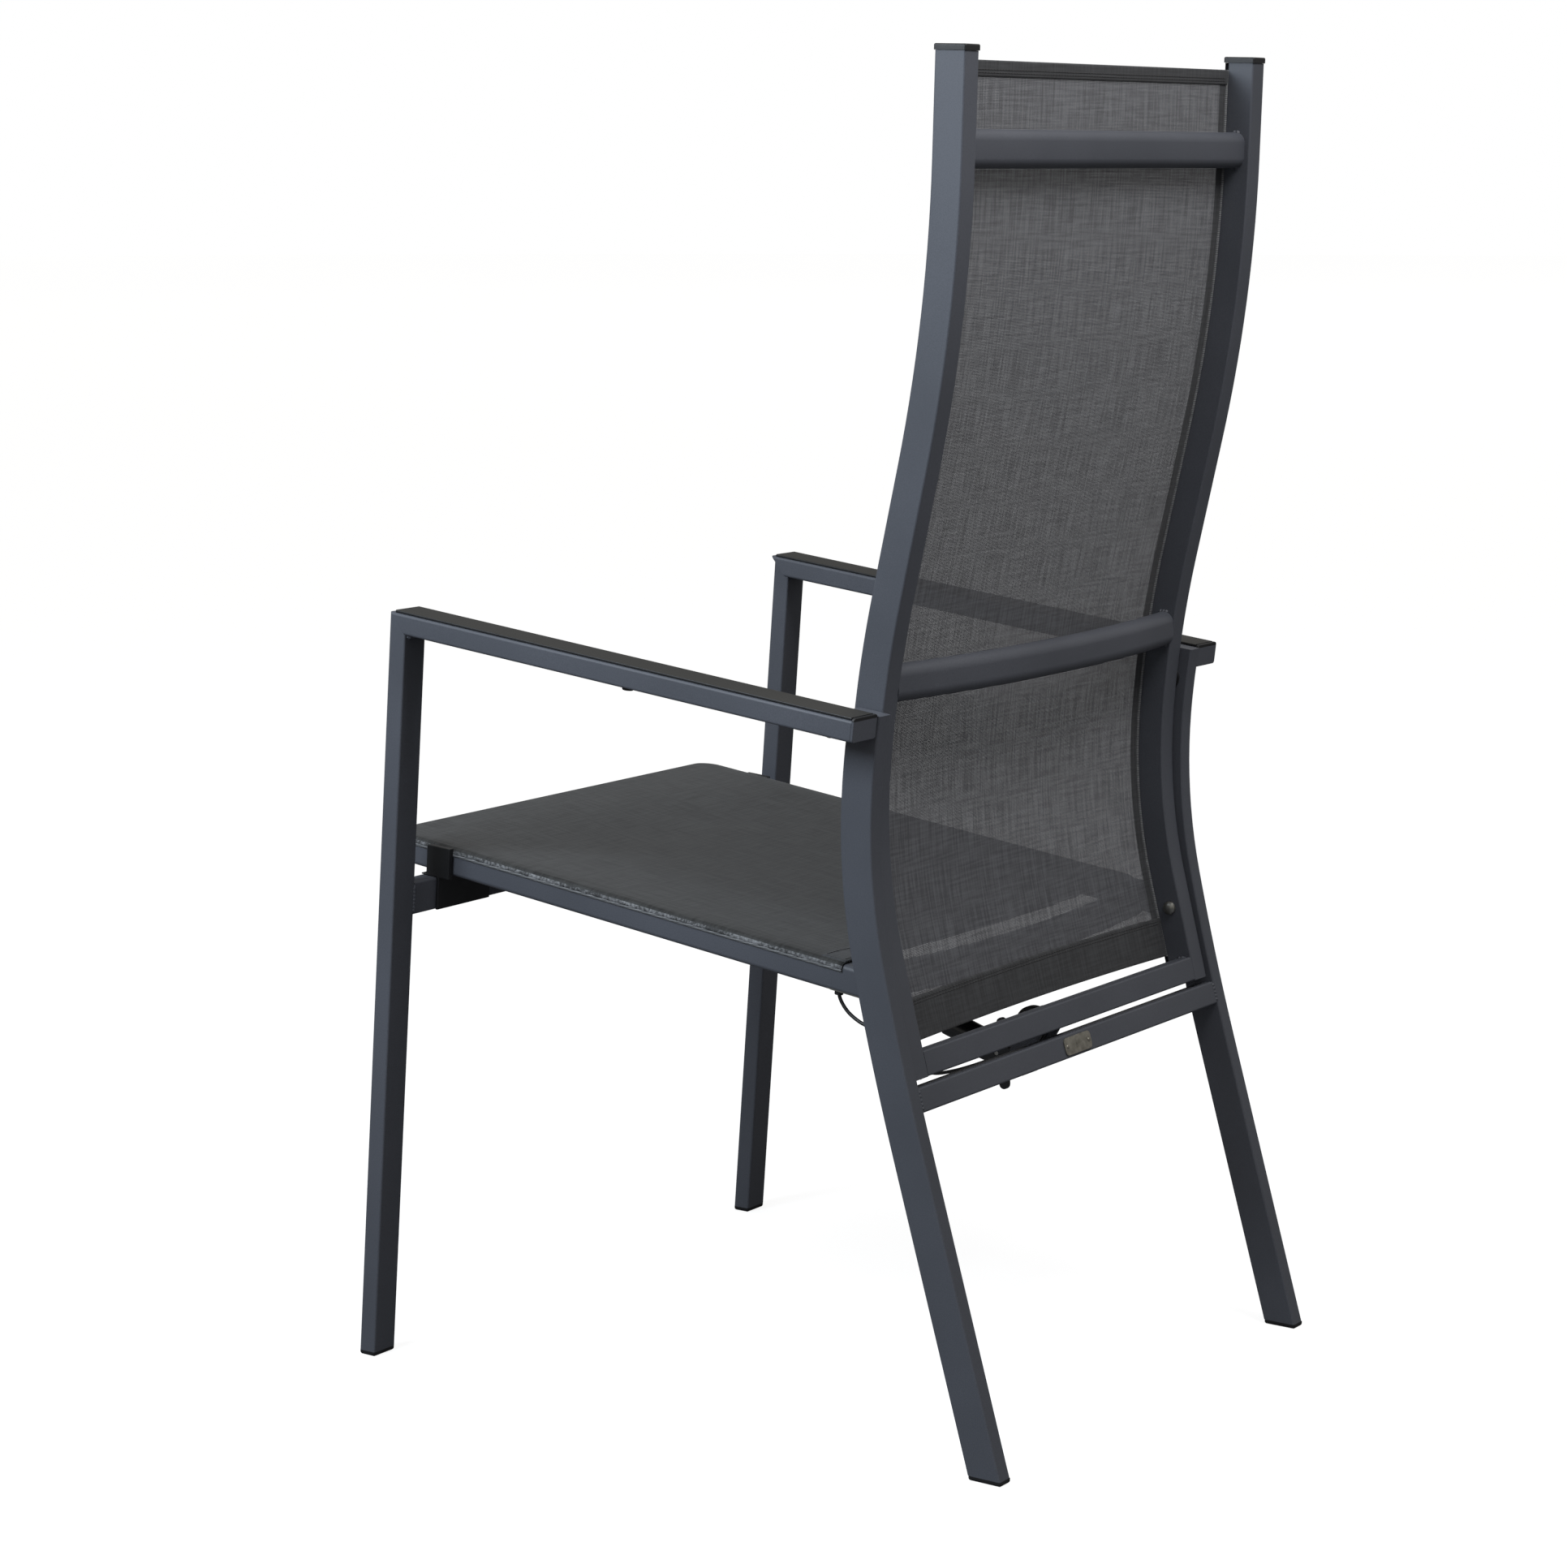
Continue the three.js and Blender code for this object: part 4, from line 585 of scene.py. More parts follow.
# Label plate: a bare aluminium plate with rounded corners, cut from brushed sheet, that two blind rivets hold
# on the rear cross rail. It has weathered a little unevenly.
plate_metal, tree = material("bare_aluminium_plate")
place = node(tree, "ShaderNodeTexCoord")
brush = node(tree, "ShaderNodeMapping", {"Vector": place.outputs["Object"]}, {"Scale": (60.0, 2500.0, 2500.0)})
scratch = node(tree, "ShaderNodeTexNoise", {"Vector": brush.outputs[0]}, {"Scale": 1.0, "Detail": 4.0})
stain = node(tree, "ShaderNodeTexNoise", {"Vector": place.outputs["Object"]}, {"Scale": 180.0, "Detail": 4.0})
tone = node(tree, "ShaderNodeMix", {"Factor": stain.outputs["Fac"]},
            {6: linear("#4a473f"), 7: linear("#c6c2b6")}, data_type="RGBA")
rough = node(tree, "ShaderNodeMapRange", {"Value": scratch.outputs["Fac"]}, {"To Min": 0.35, "To Max": 0.6})
surface = node(tree, "ShaderNodeBsdfPrincipled", {"Base Color": tone.outputs[2], "Roughness": rough.outputs[0]},
               {"Metallic": 0.85})
node(tree, "ShaderNodeOutputMaterial", {"Surface": surface.outputs[0]})
PLATE, PLATE_CORNER, PLATE_EASE = (42.0, 15.0, 1.1), 4.0, 0.25
RIVET_RADIUS, RIVET_HEIGHT, RIVET_IN = 1.9, 1.0, 4.0
plate_at = middle("label_plate")
tilt = Matrix.Translation(plate_at) @ Matrix.Rotation(-REAR_LEAN, 4, "X") @ Matrix.Rotation(-math.pi / 2, 4, "X")
bm = section(PLATE[0], PLATE[1], PLATE_CORNER)
push(bm, bm.faces[:][0], (0, 0, PLATE[2]))
eased(bm, PLATE_EASE, 2, 60)
bmesh.ops.translate(bm, vec=(0, 0, -PLATE[2] / 2), verts=bm.verts)
rivets = []
for x in (-1, 1):
    rivet = bmesh.new()
    bmesh.ops.create_uvsphere(rivet, u_segments=20, v_segments=10, radius=RIVET_RADIUS)
    bmesh.ops.bisect_plane(rivet, geom=rivet.verts[:] + rivet.edges[:] + rivet.faces[:], dist=1e-5,
                           plane_co=(0, 0, 0), plane_no=(0, 0, -1), clear_outer=True)
    bmesh.ops.holes_fill(rivet, edges=[edge for edge in rivet.edges if edge.is_boundary], sides=0)
    bmesh.ops.scale(rivet, vec=(1, 1, RIVET_HEIGHT / RIVET_RADIUS), verts=rivet.verts)
    bmesh.ops.translate(rivet, vec=(x * (PLATE[0] / 2 - RIVET_IN), 0, PLATE[2] / 2), verts=rivet.verts)
    rivets.append(rivet)
bm = merged(bm, *rivets)
bmesh.ops.transform(bm, matrix=tilt, verts=bm.verts)
piece("plate_with_rivets", bm, plate_metal, "base", "label", ["label_plate"])

# Back posts: rectangular tube, straight at the foot, bent rearward twice, then upright again at the
# shoulder. A groove in the inner face takes the sling's bead, and a slot takes the seat's tongue.
POST = (19.8, 27.65)
POST_OUTER = 236.5
POST_FOOT, POST_LEAN, POST_TOP = Vector((0, 527.8, 307)), math.radians(-14.44), 1108.0
POST_RUNS = [(94.7, 0), (156.8, math.radians(18.74)), (135.6, math.radians(8.52)), (105.8, 0),
             (239.1, math.radians(-11.17))]
GROOVE_IN, GROOVE_WIDTH, GROOVE_DEPTH = 11.5, 4.0, 4.9
SLOT_WIDTH, SLOT_DEPTH, SLOT_UP, SLOT_DOWN = 6.6, 20.0, 15.0, 9.5
post_x, post_inner = POST_OUTER - POST[0] / 2, POST_OUTER - POST[0]


def along_post(distance):
    """The place of a post's centre line and its lean, after so much tube."""
    place, lean, left = POST_FOOT.copy(), POST_LEAN, distance
    for length, turn in POST_RUNS + [(POST_TOP, 0)]:
        step = min(left, length)
        bend = turn * step / length
        chord = step if bend == 0 else step * math.sin(bend / 2) / (bend / 2)
        place += upward(lean + bend / 2) * chord
        lean += bend
        left -= step
    return place, lean


def post_reach(height):
    """The length of tube at which the post's centre line is at a height."""
    low, high = 0.0, POST_TOP
    for _ in range(40):
        half = (low + high) / 2
        low, high = (half, high) if along_post(half)[0].z < height else (low, half)
    return low


bm = section(*POST, TUBE_CORNER)
wall = -POST[0] / 2
for point, outward in (((0, -GROOVE_IN - GROOVE_WIDTH / 2, 0), (0, 1, 0)),
                       ((0, -GROOVE_IN + GROOVE_WIDTH / 2, 0), (0, 1, 0)),
                       ((wall + GROOVE_DEPTH, 0, 0), (1, 0, 0))):
    bmesh.ops.bisect_plane(bm, geom=bm.verts[:] + bm.edges[:] + bm.faces[:], dist=1e-5, plane_co=point,
                           plane_no=outward)
groove = [face for face in bm.faces if face.calc_center_median().x < wall + GROOVE_DEPTH
          and abs(face.calc_center_median().y + GROOVE_IN) < GROOVE_WIDTH / 2]
bmesh.ops.delete(bm, geom=groove, context="FACES")
bmesh.ops.dissolve_faces(bm, faces=bm.faces[:])
post_length = post_reach(POST_TOP)
last_run = post_length - sum(length for length, turn in POST_RUNS)
post_runs = POST_RUNS + [(last_run, 0)]
bm = bent(bm, POST_FOOT + Vector((post_x, 0, 0)), POST_LEAN, post_runs, 14, POST_FOOT)
hinge_at = middle("left_hinge_bolt")
bm.normal_update()
foot_front = [face for face in bm.faces if abs(face.normal.dot(rearward(POST_LEAN))) > 0.99
              and face.calc_area() > 500 and face.calc_center_median().y < POST_FOOT.y - 20
              and face.calc_center_median().z < hinge_at.z]
for point, outward in (((post_x - SLOT_WIDTH / 2, 0, 0), (1, 0, 0)), ((post_x + SLOT_WIDTH / 2, 0, 0), (1, 0, 0)),
                       (hinge_at + upward(POST_LEAN) * SLOT_UP, upward(POST_LEAN)),
                       (hinge_at - upward(POST_LEAN) * SLOT_DOWN, upward(POST_LEAN))):
    geom = foot_front + [edge for face in foot_front for edge in face.edges] \
        + [vert for face in foot_front for vert in face.verts]
    made = bmesh.ops.bisect_plane(bm, geom=list(dict.fromkeys(geom)), dist=1e-5, plane_co=point, plane_no=outward)
    foot_front = [part for part in made["geom"] if isinstance(part, bmesh.types.BMFace)]
pocket = next(face for face in foot_front
              if abs(face.calc_center_median().x - post_x) < SLOT_WIDTH / 2
              and abs((face.calc_center_median() - hinge_at).dot(upward(POST_LEAN)) - (SLOT_UP - SLOT_DOWN) / 2) < 5)
push(bm, pocket, rearward(POST_LEAN) * SLOT_DEPTH)
pair("back_post_tube", bm, anthracite, "back", "frame", ["back_post"])

# Post caps: black moulded plugs over the posts' tops, a shade wider than the tube, with a crowned face.
CAP_OVERHANG, PLUG_HEIGHT, PLUG_ROUNDING = 0.8, 4.8, 1.3
top_place, top_lean = along_post(post_length)
bm = section(POST[0] + 2 * CAP_OVERHANG, POST[1] + 2 * CAP_OVERHANG, TUBE_CORNER)
push(bm, bm.faces[:][0], (0, 0, PLUG_HEIGHT))
rim = [edge for edge in bm.edges if all(vert.co.z > PLUG_HEIGHT / 2 for vert in edge.verts)]
bmesh.ops.bevel(bm, geom=rim, offset=PLUG_ROUNDING, offset_type="OFFSET", affect="EDGES", segments=4, profile=0.5,
                material=-1)
bmesh.ops.transform(bm, matrix=Matrix.Translation(top_place + Vector((post_x, 0, 0.1)))
                    @ Matrix.Rotation(-top_lean, 4, "X"), verts=bm.verts)
pair("post_plug", bm, black_moulding, "back", "plastic", ["post_cap"])

# Head bar and lower rail: flattened round tube behind the sling at the sitter's head, and rectangular tube at
# the posts' feet. Both are welded between the posts.
HEAD_BAR, LOWER_RAIL, HEAD_HEIGHT = (17.0, 30.0), (18.0, 21.0), 1035.0
OVAL_FLAT = 0.1
head_lean = along_post(post_reach(HEAD_HEIGHT))[1]
head_at, lower_at = middle("head_bar"), middle("back_lower_rail")
piece("head_tube", cross_tube(*HEAD_BAR, HEAD_BAR[0] / 2 - OVAL_FLAT, post_inner, head_at, head_lean), anthracite,
      "back", "frame", ["head_bar"])
piece("lower_back_tube", cross_tube(*LOWER_RAIL, TUBE_CORNER, post_inner, lower_at, POST_LEAN), anthracite,
      "back", "frame", ["back_lower_rail"])

# Lumbar bar: the same flattened tube, bowed rearward so that the sling can give without touching it. The weld
# beads of all three bars run along the tops and undersides of their ends.
LUMBAR_BAR, LUMBAR_BOW, LUMBAR_HEIGHT = (19.0, 30.0), 19.0, 622.0
BAR_SUNK, BAR_WELD = 0.2, 2.0
lumbar_place, lumbar_lean = along_post(post_reach(LUMBAR_HEIGHT))
lumbar_at = lumbar_place + rearward(lumbar_lean) * ((POST[1] - LUMBAR_BAR[0]) / 2)
bow_radius = (post_inner ** 2 + LUMBAR_BOW ** 2) / (2 * LUMBAR_BOW)
bow_half = math.asin((post_inner + BAR_SUNK) / bow_radius)
bm = section(LUMBAR_BAR[1], LUMBAR_BAR[0], LUMBAR_BAR[0] / 2 - OVAL_FLAT, 8)
bmesh.ops.rotate(bm, cent=(0, 0, 0), matrix=Matrix.Rotation(math.pi / 2, 3, "Y"), verts=bm.verts)
bmesh.ops.rotate(bm, cent=(0, 0, 0), matrix=Matrix.Rotation(bow_half, 3, "Z"), verts=bm.verts)
bmesh.ops.translate(bm, vec=lumbar_at - Vector((post_inner + BAR_SUNK, 0, 0)), verts=bm.verts)
bmesh.ops.spin(bm, geom=bm.faces[:], cent=lumbar_at + Vector((0, LUMBAR_BOW - bow_radius, 0)), axis=(0, 0, -1),
               angle=2 * bow_half, steps=28)
piece("lumbar_tube", bm, anthracite, "back", "frame", ["lumbar_bar"])
seams = []
for centre, (depth, height), lean in ((head_at, HEAD_BAR, head_lean), (lower_at, LOWER_RAIL, POST_LEAN),
                                      (lumbar_at, LUMBAR_BAR, 0.0)):
    for sign_z in (-1, 1):
        spot = Vector((post_inner, *centre.yz)) + upward(lean) * (sign_z * (height / 2 - 0.5))
        reach = rearward(lean) * (depth / 2 - 5)
        seams.append(weld((spot - reach, spot + reach), BAR_WELD))
pair("back_welds", merged(*seams), anthracite, "back", "frame")

# Back sling: one width of PVC-coated polyester mesh, black warp with melange grey, doubled along each side and
# welded there round its bead, and turned over and sewn at each end. Light passes between its yarns, which are
# drawn a little coarser than they are, so that they show.
YARN = 0.9
SLUB_WIDTH, SLUB_LENGTH, SLUB_SPREAD = 2.2, 42.0, 0.18
GAP_FEWEST, GAP_MOST, GAP_EDGE = 0.6, 1.4, 0.15
SLING_BOTTOM, SLING_TOP = 331.0, 1102.0
SIDE_STRIP, SIDE_GAP, FOOT_ARCH = 9.0, 0.3, 3.0


def mesh_cloth(name, dark, light, open_share, weft_share=0.7):
    """Coated mesh: round yarns both ways in the piece's own UV map, in metres, with gaps between them that
    vary, and slubs of lighter yarn that make short streaks along and across."""
    made, tree = material(name)
    cloth = node(tree, "ShaderNodeUVMap", uv_map="cloth")
    yarns, streaks = [], []
    for axis in range(2):
        yarns.append(node(tree, "ShaderNodeTexWave", {"Vector": cloth.outputs[0]},
                          {"Scale": math.pi / 10 / (YARN * MM), "Distortion": 0.15, "Detail": 1.0,
                           "Detail Scale": 0.8}, bands_direction="XY"[axis], wave_profile="SIN"))
        scale = [1 / (SLUB_LENGTH * MM)] * 3
        scale[axis] = 1 / (SLUB_WIDTH * MM)
        way = node(tree, "ShaderNodeMapping", {"Vector": cloth.outputs[0]}, {"Scale": scale})
        streaks.append(node(tree, "ShaderNodeTexNoise", {"Vector": way.outputs[0]}, {"Scale": 1.0, "Detail": 2.0}))
    height = node(tree, "ShaderNodeMath", {0: yarns[0].outputs["Fac"], 1: yarns[1].outputs["Fac"]},
                  operation="MAXIMUM")
    level = node(tree, "ShaderNodeMath", {0: streaks[1].outputs["Fac"]}, {1: weft_share}, operation="MULTIPLY")
    melange = node(tree, "ShaderNodeMath", {0: streaks[0].outputs["Fac"], 1: level.outputs[0]}, operation="ADD")
    middle_share = 0.5 * (1 + weft_share)
    share = node(tree, "ShaderNodeMapRange", {"Value": melange.outputs[0]},
                 {"From Min": middle_share - SLUB_SPREAD, "From Max": middle_share + SLUB_SPREAD})
    colour = node(tree, "ShaderNodeMix", {"Factor": share.outputs[0]}, {6: linear(dark), 7: linear(light)},
                  data_type="RGBA")
    bump = node(tree, "ShaderNodeBump", {"Height": height.outputs[0]}, {"Strength": 0.35, "Distance": 0.12 * MM})
    links = {"Base Color": colour.outputs[2], "Normal": bump.outputs[0]}
    if open_share:
        low, high = ((1 - math.cos(math.pi * math.sqrt(open_share * many))) / 2
                     for many in (GAP_FEWEST, GAP_MOST))
        edge = node(tree, "ShaderNodeMapRange", {"Value": share.outputs[0]}, {"To Min": low, "To Max": high})
        above = node(tree, "ShaderNodeMath", {0: height.outputs[0], 1: edge.outputs[0]}, operation="SUBTRACT")
        thread = node(tree, "ShaderNodeMapRange", {"Value": above.outputs[0]},
                      {"From Min": -GAP_EDGE, "From Max": GAP_EDGE})
        links["Alpha"] = thread.outputs[0]
    surface = node(tree, "ShaderNodeBsdfPrincipled", links,
                   {"Roughness": 0.72, "IOR": 1.5, "Sheen Weight": 0.15, "Sheen Roughness": 0.5})
    node(tree, "ShaderNodeOutputMaterial", {"Surface": surface.outputs[0]})
    return made


def cloth_map(made, across, along):
    """Lays the cloth's UV map in metres: across and along turn a place of the mesh to a distance."""
    layer = made.data.uv_layers.new(name="cloth")
    for loop in made.data.loops:
        place = made.data.vertices[loop.vertex_index].co
        layer.data[loop.index].uv = (across(place), along(place))


def laid_grid(across, along, place):
    """A grid whose points are put where place says, for -1 to 1 across and 0 to 1 along."""
    bm = bmesh.new()
    bmesh.ops.create_grid(bm, x_segments=across, y_segments=along, size=1)
    for vert in bm.verts:
        vert.co = place(vert.co.x, (vert.co.y + 1) / 2)
    return bm


back_mesh = mesh_cloth("coated_polyester_mesh_back", "#434449", "#5e6065", 0.03)
# The folded mesh is drawn darker than the single one: partly the doubled layer, which lets no light through, and
# partly painted shade beside the posts and along the hems.
folded_mesh_painted_shade = mesh_cloth("coated_polyester_mesh_folded_painted_shade", "#26272a", "#3b3d40", 0)
sling_from, sling_to = post_reach(SLING_BOTTOM), post_reach(SLING_TOP)
sling_half = post_inner - SIDE_GAP


def on_back(u, v):
    """The sling between the posts' grooves, its foot arched up a little at the middle."""
    foot = sling_from + FOOT_ARCH * (1 - u * u)
    place, lean = along_post(foot + (sling_to - foot) * v)
    return place - rearward(lean) * GROOVE_IN + Vector((u * sling_half, 0, 0))


sling = piece("back_mesh_sling", laid_grid(40, 180, on_back), back_mesh, "back", "sling", ["back_sling"],
              weighted=False)
cloth_map(sling, lambda p: p.x, lambda p: p.z)
sling.data.materials.append(folded_mesh_painted_shade)
# The side strips take the folded mesh, whose darkness is partly painted shade beside the posts.
for face in sling.data.polygons:
    face.material_index = 1 if abs(face.center.x) > (sling_half - SIDE_STRIP) * MM else 0

# Hems of the back sling: a narrow one at the top and a wide one at the foot, each turned over twice and
# sewn with two rows of dark bonded thread.
TOP_HEM, FOOT_HEM, HEM_THICKNESS = 12.5, 35.0, 3.2
STITCH_PITCH, STITCH_LENGTH, STITCH_RADIUS, STITCH_PROUD = 4.2, 3.1, 0.45, 0.05
STITCH_ROWS, STITCH_END = (3.0, 5.4), 3.0
bonded_thread, tree = material("bonded_polyester_thread")
place = node(tree, "ShaderNodeTexCoord")
ply = node(tree, "ShaderNodeTexWave", {"Vector": place.outputs["Object"]}, {"Scale": 900.0},
           bands_direction="DIAGONAL")
shade = node(tree, "ShaderNodeMix", {"Factor": ply.outputs["Fac"]}, {6: linear("#141416"), 7: linear("#2b2c2f")},
             data_type="RGBA")
surface = node(tree, "ShaderNodeBsdfPrincipled", {"Base Color": shade.outputs[2]},
               {"Roughness": 0.5, "Sheen Weight": 0.2})
node(tree, "ShaderNodeOutputMaterial", {"Surface": surface.outputs[0]})


def stitch_row(place, half, side_of):
    """A row of lock stitches across the chair; place gives the seam's point for a distance across."""
    whole = bmesh.new()
    count = int(2 * half / STITCH_PITCH)
    for i in range(count):
        x = (i + 0.5 - count / 2) * STITCH_PITCH
        made = bmesh.ops.create_cone(whole, cap_ends=True, segments=6, radius1=STITCH_RADIUS, radius2=STITCH_RADIUS,
                                     depth=STITCH_LENGTH)["verts"]
        ends = [face for vert in made for face in vert.link_faces if len(face.verts) == 6]
        inset = bmesh.ops.inset_region(whole, faces=list(dict.fromkeys(ends)), thickness=STITCH_RADIUS * 0.45,
                                       depth=STITCH_RADIUS * 0.6)
        made = list({vert for face in inset["faces"] for vert in face.verts} | set(made)
                    | {vert for face in ends if face.is_valid for vert in face.verts})
        bmesh.ops.rotate(whole, cent=(0, 0, 0), matrix=Matrix.Rotation(math.pi / 2, 3, "Y"), verts=made)
        bmesh.ops.translate(whole, vec=place(x) + side_of, verts=made)
    return whole


def back_hem(name, start, length):
    """A folded hem along the back sling from a distance up the post, with its stitches."""
    centre, lean = along_post(start + length / 2)
    centre = centre - rearward(lean) * GROOVE_IN
    at_foot = start < sling_to / 2
    seam = length / 2 if at_foot else -length / 2
    inward = math.copysign(1, -seam)
    bm = cross_tube(HEM_THICKNESS, length, HEM_THICKNESS / 2 - 0.05, sling_half, centre, lean)
    bmesh.ops.subdivide_edges(bm, edges=[edge for edge in bm.edges if edge.calc_length() > sling_half], cuts=30)

    def arched(x):
        return upward(lean) * (FOOT_ARCH * (1 - (x / sling_half) ** 2) if at_foot else 0)

    for vert in bm.verts:
        vert.co += arched(vert.co.x)
    hem = piece(name, bm, folded_mesh_painted_shade, "back", "sling")
    cloth_map(hem, lambda p: p.x, lambda p: p.z)
    rows = [stitch_row(lambda x, up=seam + row * inward: centre + upward(lean) * up + Vector((x, 0, 0)) + arched(x),
                       sling_half - STITCH_END, rearward(lean) * (sign * (HEM_THICKNESS / 2 + STITCH_PROUD)))
            for row in STITCH_ROWS for sign in (1, -1)]
    piece(name + "_stitches", merged(*rows), bonded_thread, "back", "sling")


back_hem("back_top_hem", sling_to - TOP_HEM, TOP_HEM)
back_hem("back_foot_hem", sling_from, FOOT_HEM)

# Beads of the back sling: a round polypropylene cord in each side of the mesh, drawn into the post's groove.
# The mesh wraps it, and it is drawn paler than the mesh beside it: a painted highlight along the lit bead.
BEAD_RADIUS, BEAD_SUNK, WRAP_PITCH = 1.9, 1.0, 1.6
bead_wrap_painted_highlight, tree = material("mesh_over_bead_painted_highlight")
place = node(tree, "ShaderNodeTexCoord")
turns = node(tree, "ShaderNodeTexWave", {"Vector": place.outputs["Object"]},
             {"Scale": 1 / (WRAP_PITCH * MM) * math.pi / 10}, bands_direction="Z", wave_profile="SIN")
slub = node(tree, "ShaderNodeTexNoise", {"Vector": place.outputs["Object"]}, {"Scale": 220.0, "Detail": 3.0})
mixed = node(tree, "ShaderNodeMath", {0: turns.outputs["Fac"], 1: slub.outputs["Fac"]}, operation="MULTIPLY")
shade = node(tree, "ShaderNodeMix", {"Factor": mixed.outputs[0]}, {6: linear("#4a4c4f"), 7: linear("#a2a4a6")},
             data_type="RGBA")
bump = node(tree, "ShaderNodeBump", {"Height": turns.outputs["Fac"]}, {"Strength": 0.4, "Distance": 0.2 * MM})
surface = node(tree, "ShaderNodeBsdfPrincipled", {"Base Color": shade.outputs[2], "Normal": bump.outputs[0]},
               {"Roughness": 0.7, "Sheen Weight": 0.2})
node(tree, "ShaderNodeOutputMaterial", {"Surface": surface.outputs[0]})
bm = bmesh.new()
bmesh.ops.create_circle(bm, cap_ends=True, segments=12, radius=BEAD_RADIUS)
bm = bent(bm, POST_FOOT - rearward(POST_LEAN) * GROOVE_IN + Vector((post_inner + BEAD_SUNK, 0, 0)), POST_LEAN,
          post_runs, 20, POST_FOOT)
for distance, sign in ((sling_from, -1), (sling_to, 1)):
    point, lean = along_post(distance)
    trim(bm, point, upward(lean) * sign)
pair("back_bead_cord", bm, bead_wrap_painted_highlight, "back", "bead", ["back_bead"])

# Small steel: the seat's hinge bolts with their domed heads, the recline pivots, the seat's tongues, and the
# pins of the spring. Zinc-plated steel, turned or pressed, with a fine lay of tool marks.
zinc_plate, tree = material("zinc_plated_steel")
place = node(tree, "ShaderNodeTexCoord")
lay = node(tree, "ShaderNodeMapping", {"Vector": place.outputs["Object"]}, {"Scale": (4000.0, 300.0, 300.0)})
marks = node(tree, "ShaderNodeTexNoise", {"Vector": lay.outputs[0]}, {"Scale": 1.0, "Detail": 3.0})
bloom = node(tree, "ShaderNodeTexNoise", {"Vector": place.outputs["Object"]}, {"Scale": 250.0, "Detail": 3.0})
shade = node(tree, "ShaderNodeMix", {"Factor": bloom.outputs["Fac"]}, {6: linear("#8d8d87"), 7: linear("#b4b3ad")},
             data_type="RGBA")
rough = node(tree, "ShaderNodeMapRange", {"Value": marks.outputs["Fac"]}, {"To Min": 0.22, "To Max": 0.45})
surface = node(tree, "ShaderNodeBsdfPrincipled", {"Base Color": shade.outputs[2], "Roughness": rough.outputs[0]},
               {"Metallic": 1.0})
node(tree, "ShaderNodeOutputMaterial", {"Surface": surface.outputs[0]})
for name, body, ease in (("left_hinge_bolt", "back", 0), ("right_hinge_bolt", "back", 0),
                         ("left_pivot_bolt", "base", 0.4), ("right_pivot_bolt", "base", 0.4),
                         ("left_seat_tongue", "seat", 0.5), ("right_seat_tongue", "seat", 0.5),
                         ("spring_rear_pin", "back", 0.4), ("spring_front_pin", "base", 0.4),
                         ("lever_pin", "rod", 0.2)):
    bm = from_cad(name)
    if ease:
        eased(bm, ease, 2, 50)
    piece(name + "_steel", bm, zinc_plate, body, "steel", [name])

# Washers, button and bush: black mouldings, pressed into place. The button under the left arm is crowned for
# the finger.
for name, body, ease in (("left_pivot_washer", "base", 0.3), ("right_pivot_washer", "base", 0.3),
                         ("button_bush", "base", 0.25), ("release_button", "button", 0.9)):
    bm = from_cad(name)
    eased(bm, ease, 3, 50)
    piece(name + "_moulding", bm, black_moulding, body, "plastic", [name])

# Grommets of the release cable: black moulded rings, snapped into their holes, where it goes into the seat rail
# and through the post.
GROMMET_EASE = 0.5
for name, body in (("rail_cable_grommet", "seat"), ("post_front_grommet", "back"), ("post_inner_grommet", "back")):
    bm = from_cad(name)
    eased(bm, GROMMET_EASE, 3, 50)
    piece(name + "_ring", bm, black_moulding, body, "plastic", [name])

# Cable clip: a black moulded stud under the left arm, near its rear end. It is pushed in from below and holds
# the cable inside the tube.
CLIP_Y, CLIP_RADIUS, CLIP_DEPTH, CLIP_SLIM = 483.0, 5.0, 4.0, 0.8
bm = bmesh.new()
bmesh.ops.create_uvsphere(bm, u_segments=24, v_segments=12, radius=CLIP_RADIUS)
bmesh.ops.scale(bm, vec=(CLIP_SLIM, 1, CLIP_DEPTH / CLIP_RADIUS), verts=bm.verts)
bmesh.ops.translate(bm, vec=on_arm(CLIP_Y, 0), verts=bm.verts)
piece("arm_cable_clip", bm, black_moulding, "base", "plastic")

# Brackets of the spring: laser-cut steel ears, welded to the rails and coated with the frame. The rear pair is
# rounded close under its pin.
SPRING_REAR, SPRING_FRONT = Vector((0, PIVOT_Y, 273.3)), Vector((0, 69, 406.4))
EAR_EYE, EAR_SHOULDER, EAR_EASE = 7.0, 4.0, 0.5
for name, body in (("left_spring_ear", "back"), ("right_spring_ear", "back"), ("spring_front_bracket", "base")):
    bm = from_cad(name)
    for vert in bm.verts if body == "back" else ():
        arm = Vector((0, *(vert.co - SPRING_REAR).yz))
        if arm.length > EAR_EYE and arm.z < EAR_SHOULDER:
            vert.co -= arm * (1 - EAR_EYE / arm.length)
    eased(bm, EAR_EASE, 2, 50)
    piece(name + "_cut", bm, anthracite, body, "frame", [name])

# Cable guide: a black moulded disc, clasped to the right ear's top, that leads the cable up into the head. Its
# rims are rounded.
GUIDE_AT, GUIDE_RADIUS, GUIDE_HALF, GUIDE_EASE = Vector((-14.5, PIVOT_Y, 303.0)), 16.0, 4.5, 1.5
bm = section(2 * GUIDE_RADIUS, 2 * GUIDE_RADIUS, GUIDE_RADIUS - OVAL_FLAT, 10)
push(bm, bm.faces[:][0], (0, 0, 2 * GUIDE_HALF))
bmesh.ops.translate(bm, vec=(0, 0, -GUIDE_HALF), verts=bm.verts)
bmesh.ops.rotate(bm, cent=(0, 0, 0), matrix=Matrix.Rotation(math.pi / 2, 3, "Y"), verts=bm.verts)
bmesh.ops.translate(bm, vec=GUIDE_AT, verts=bm.verts)
eased(bm, GUIDE_EASE, 3, 50)
piece("cable_guide_disc", bm, black_moulding, "back", "plastic")

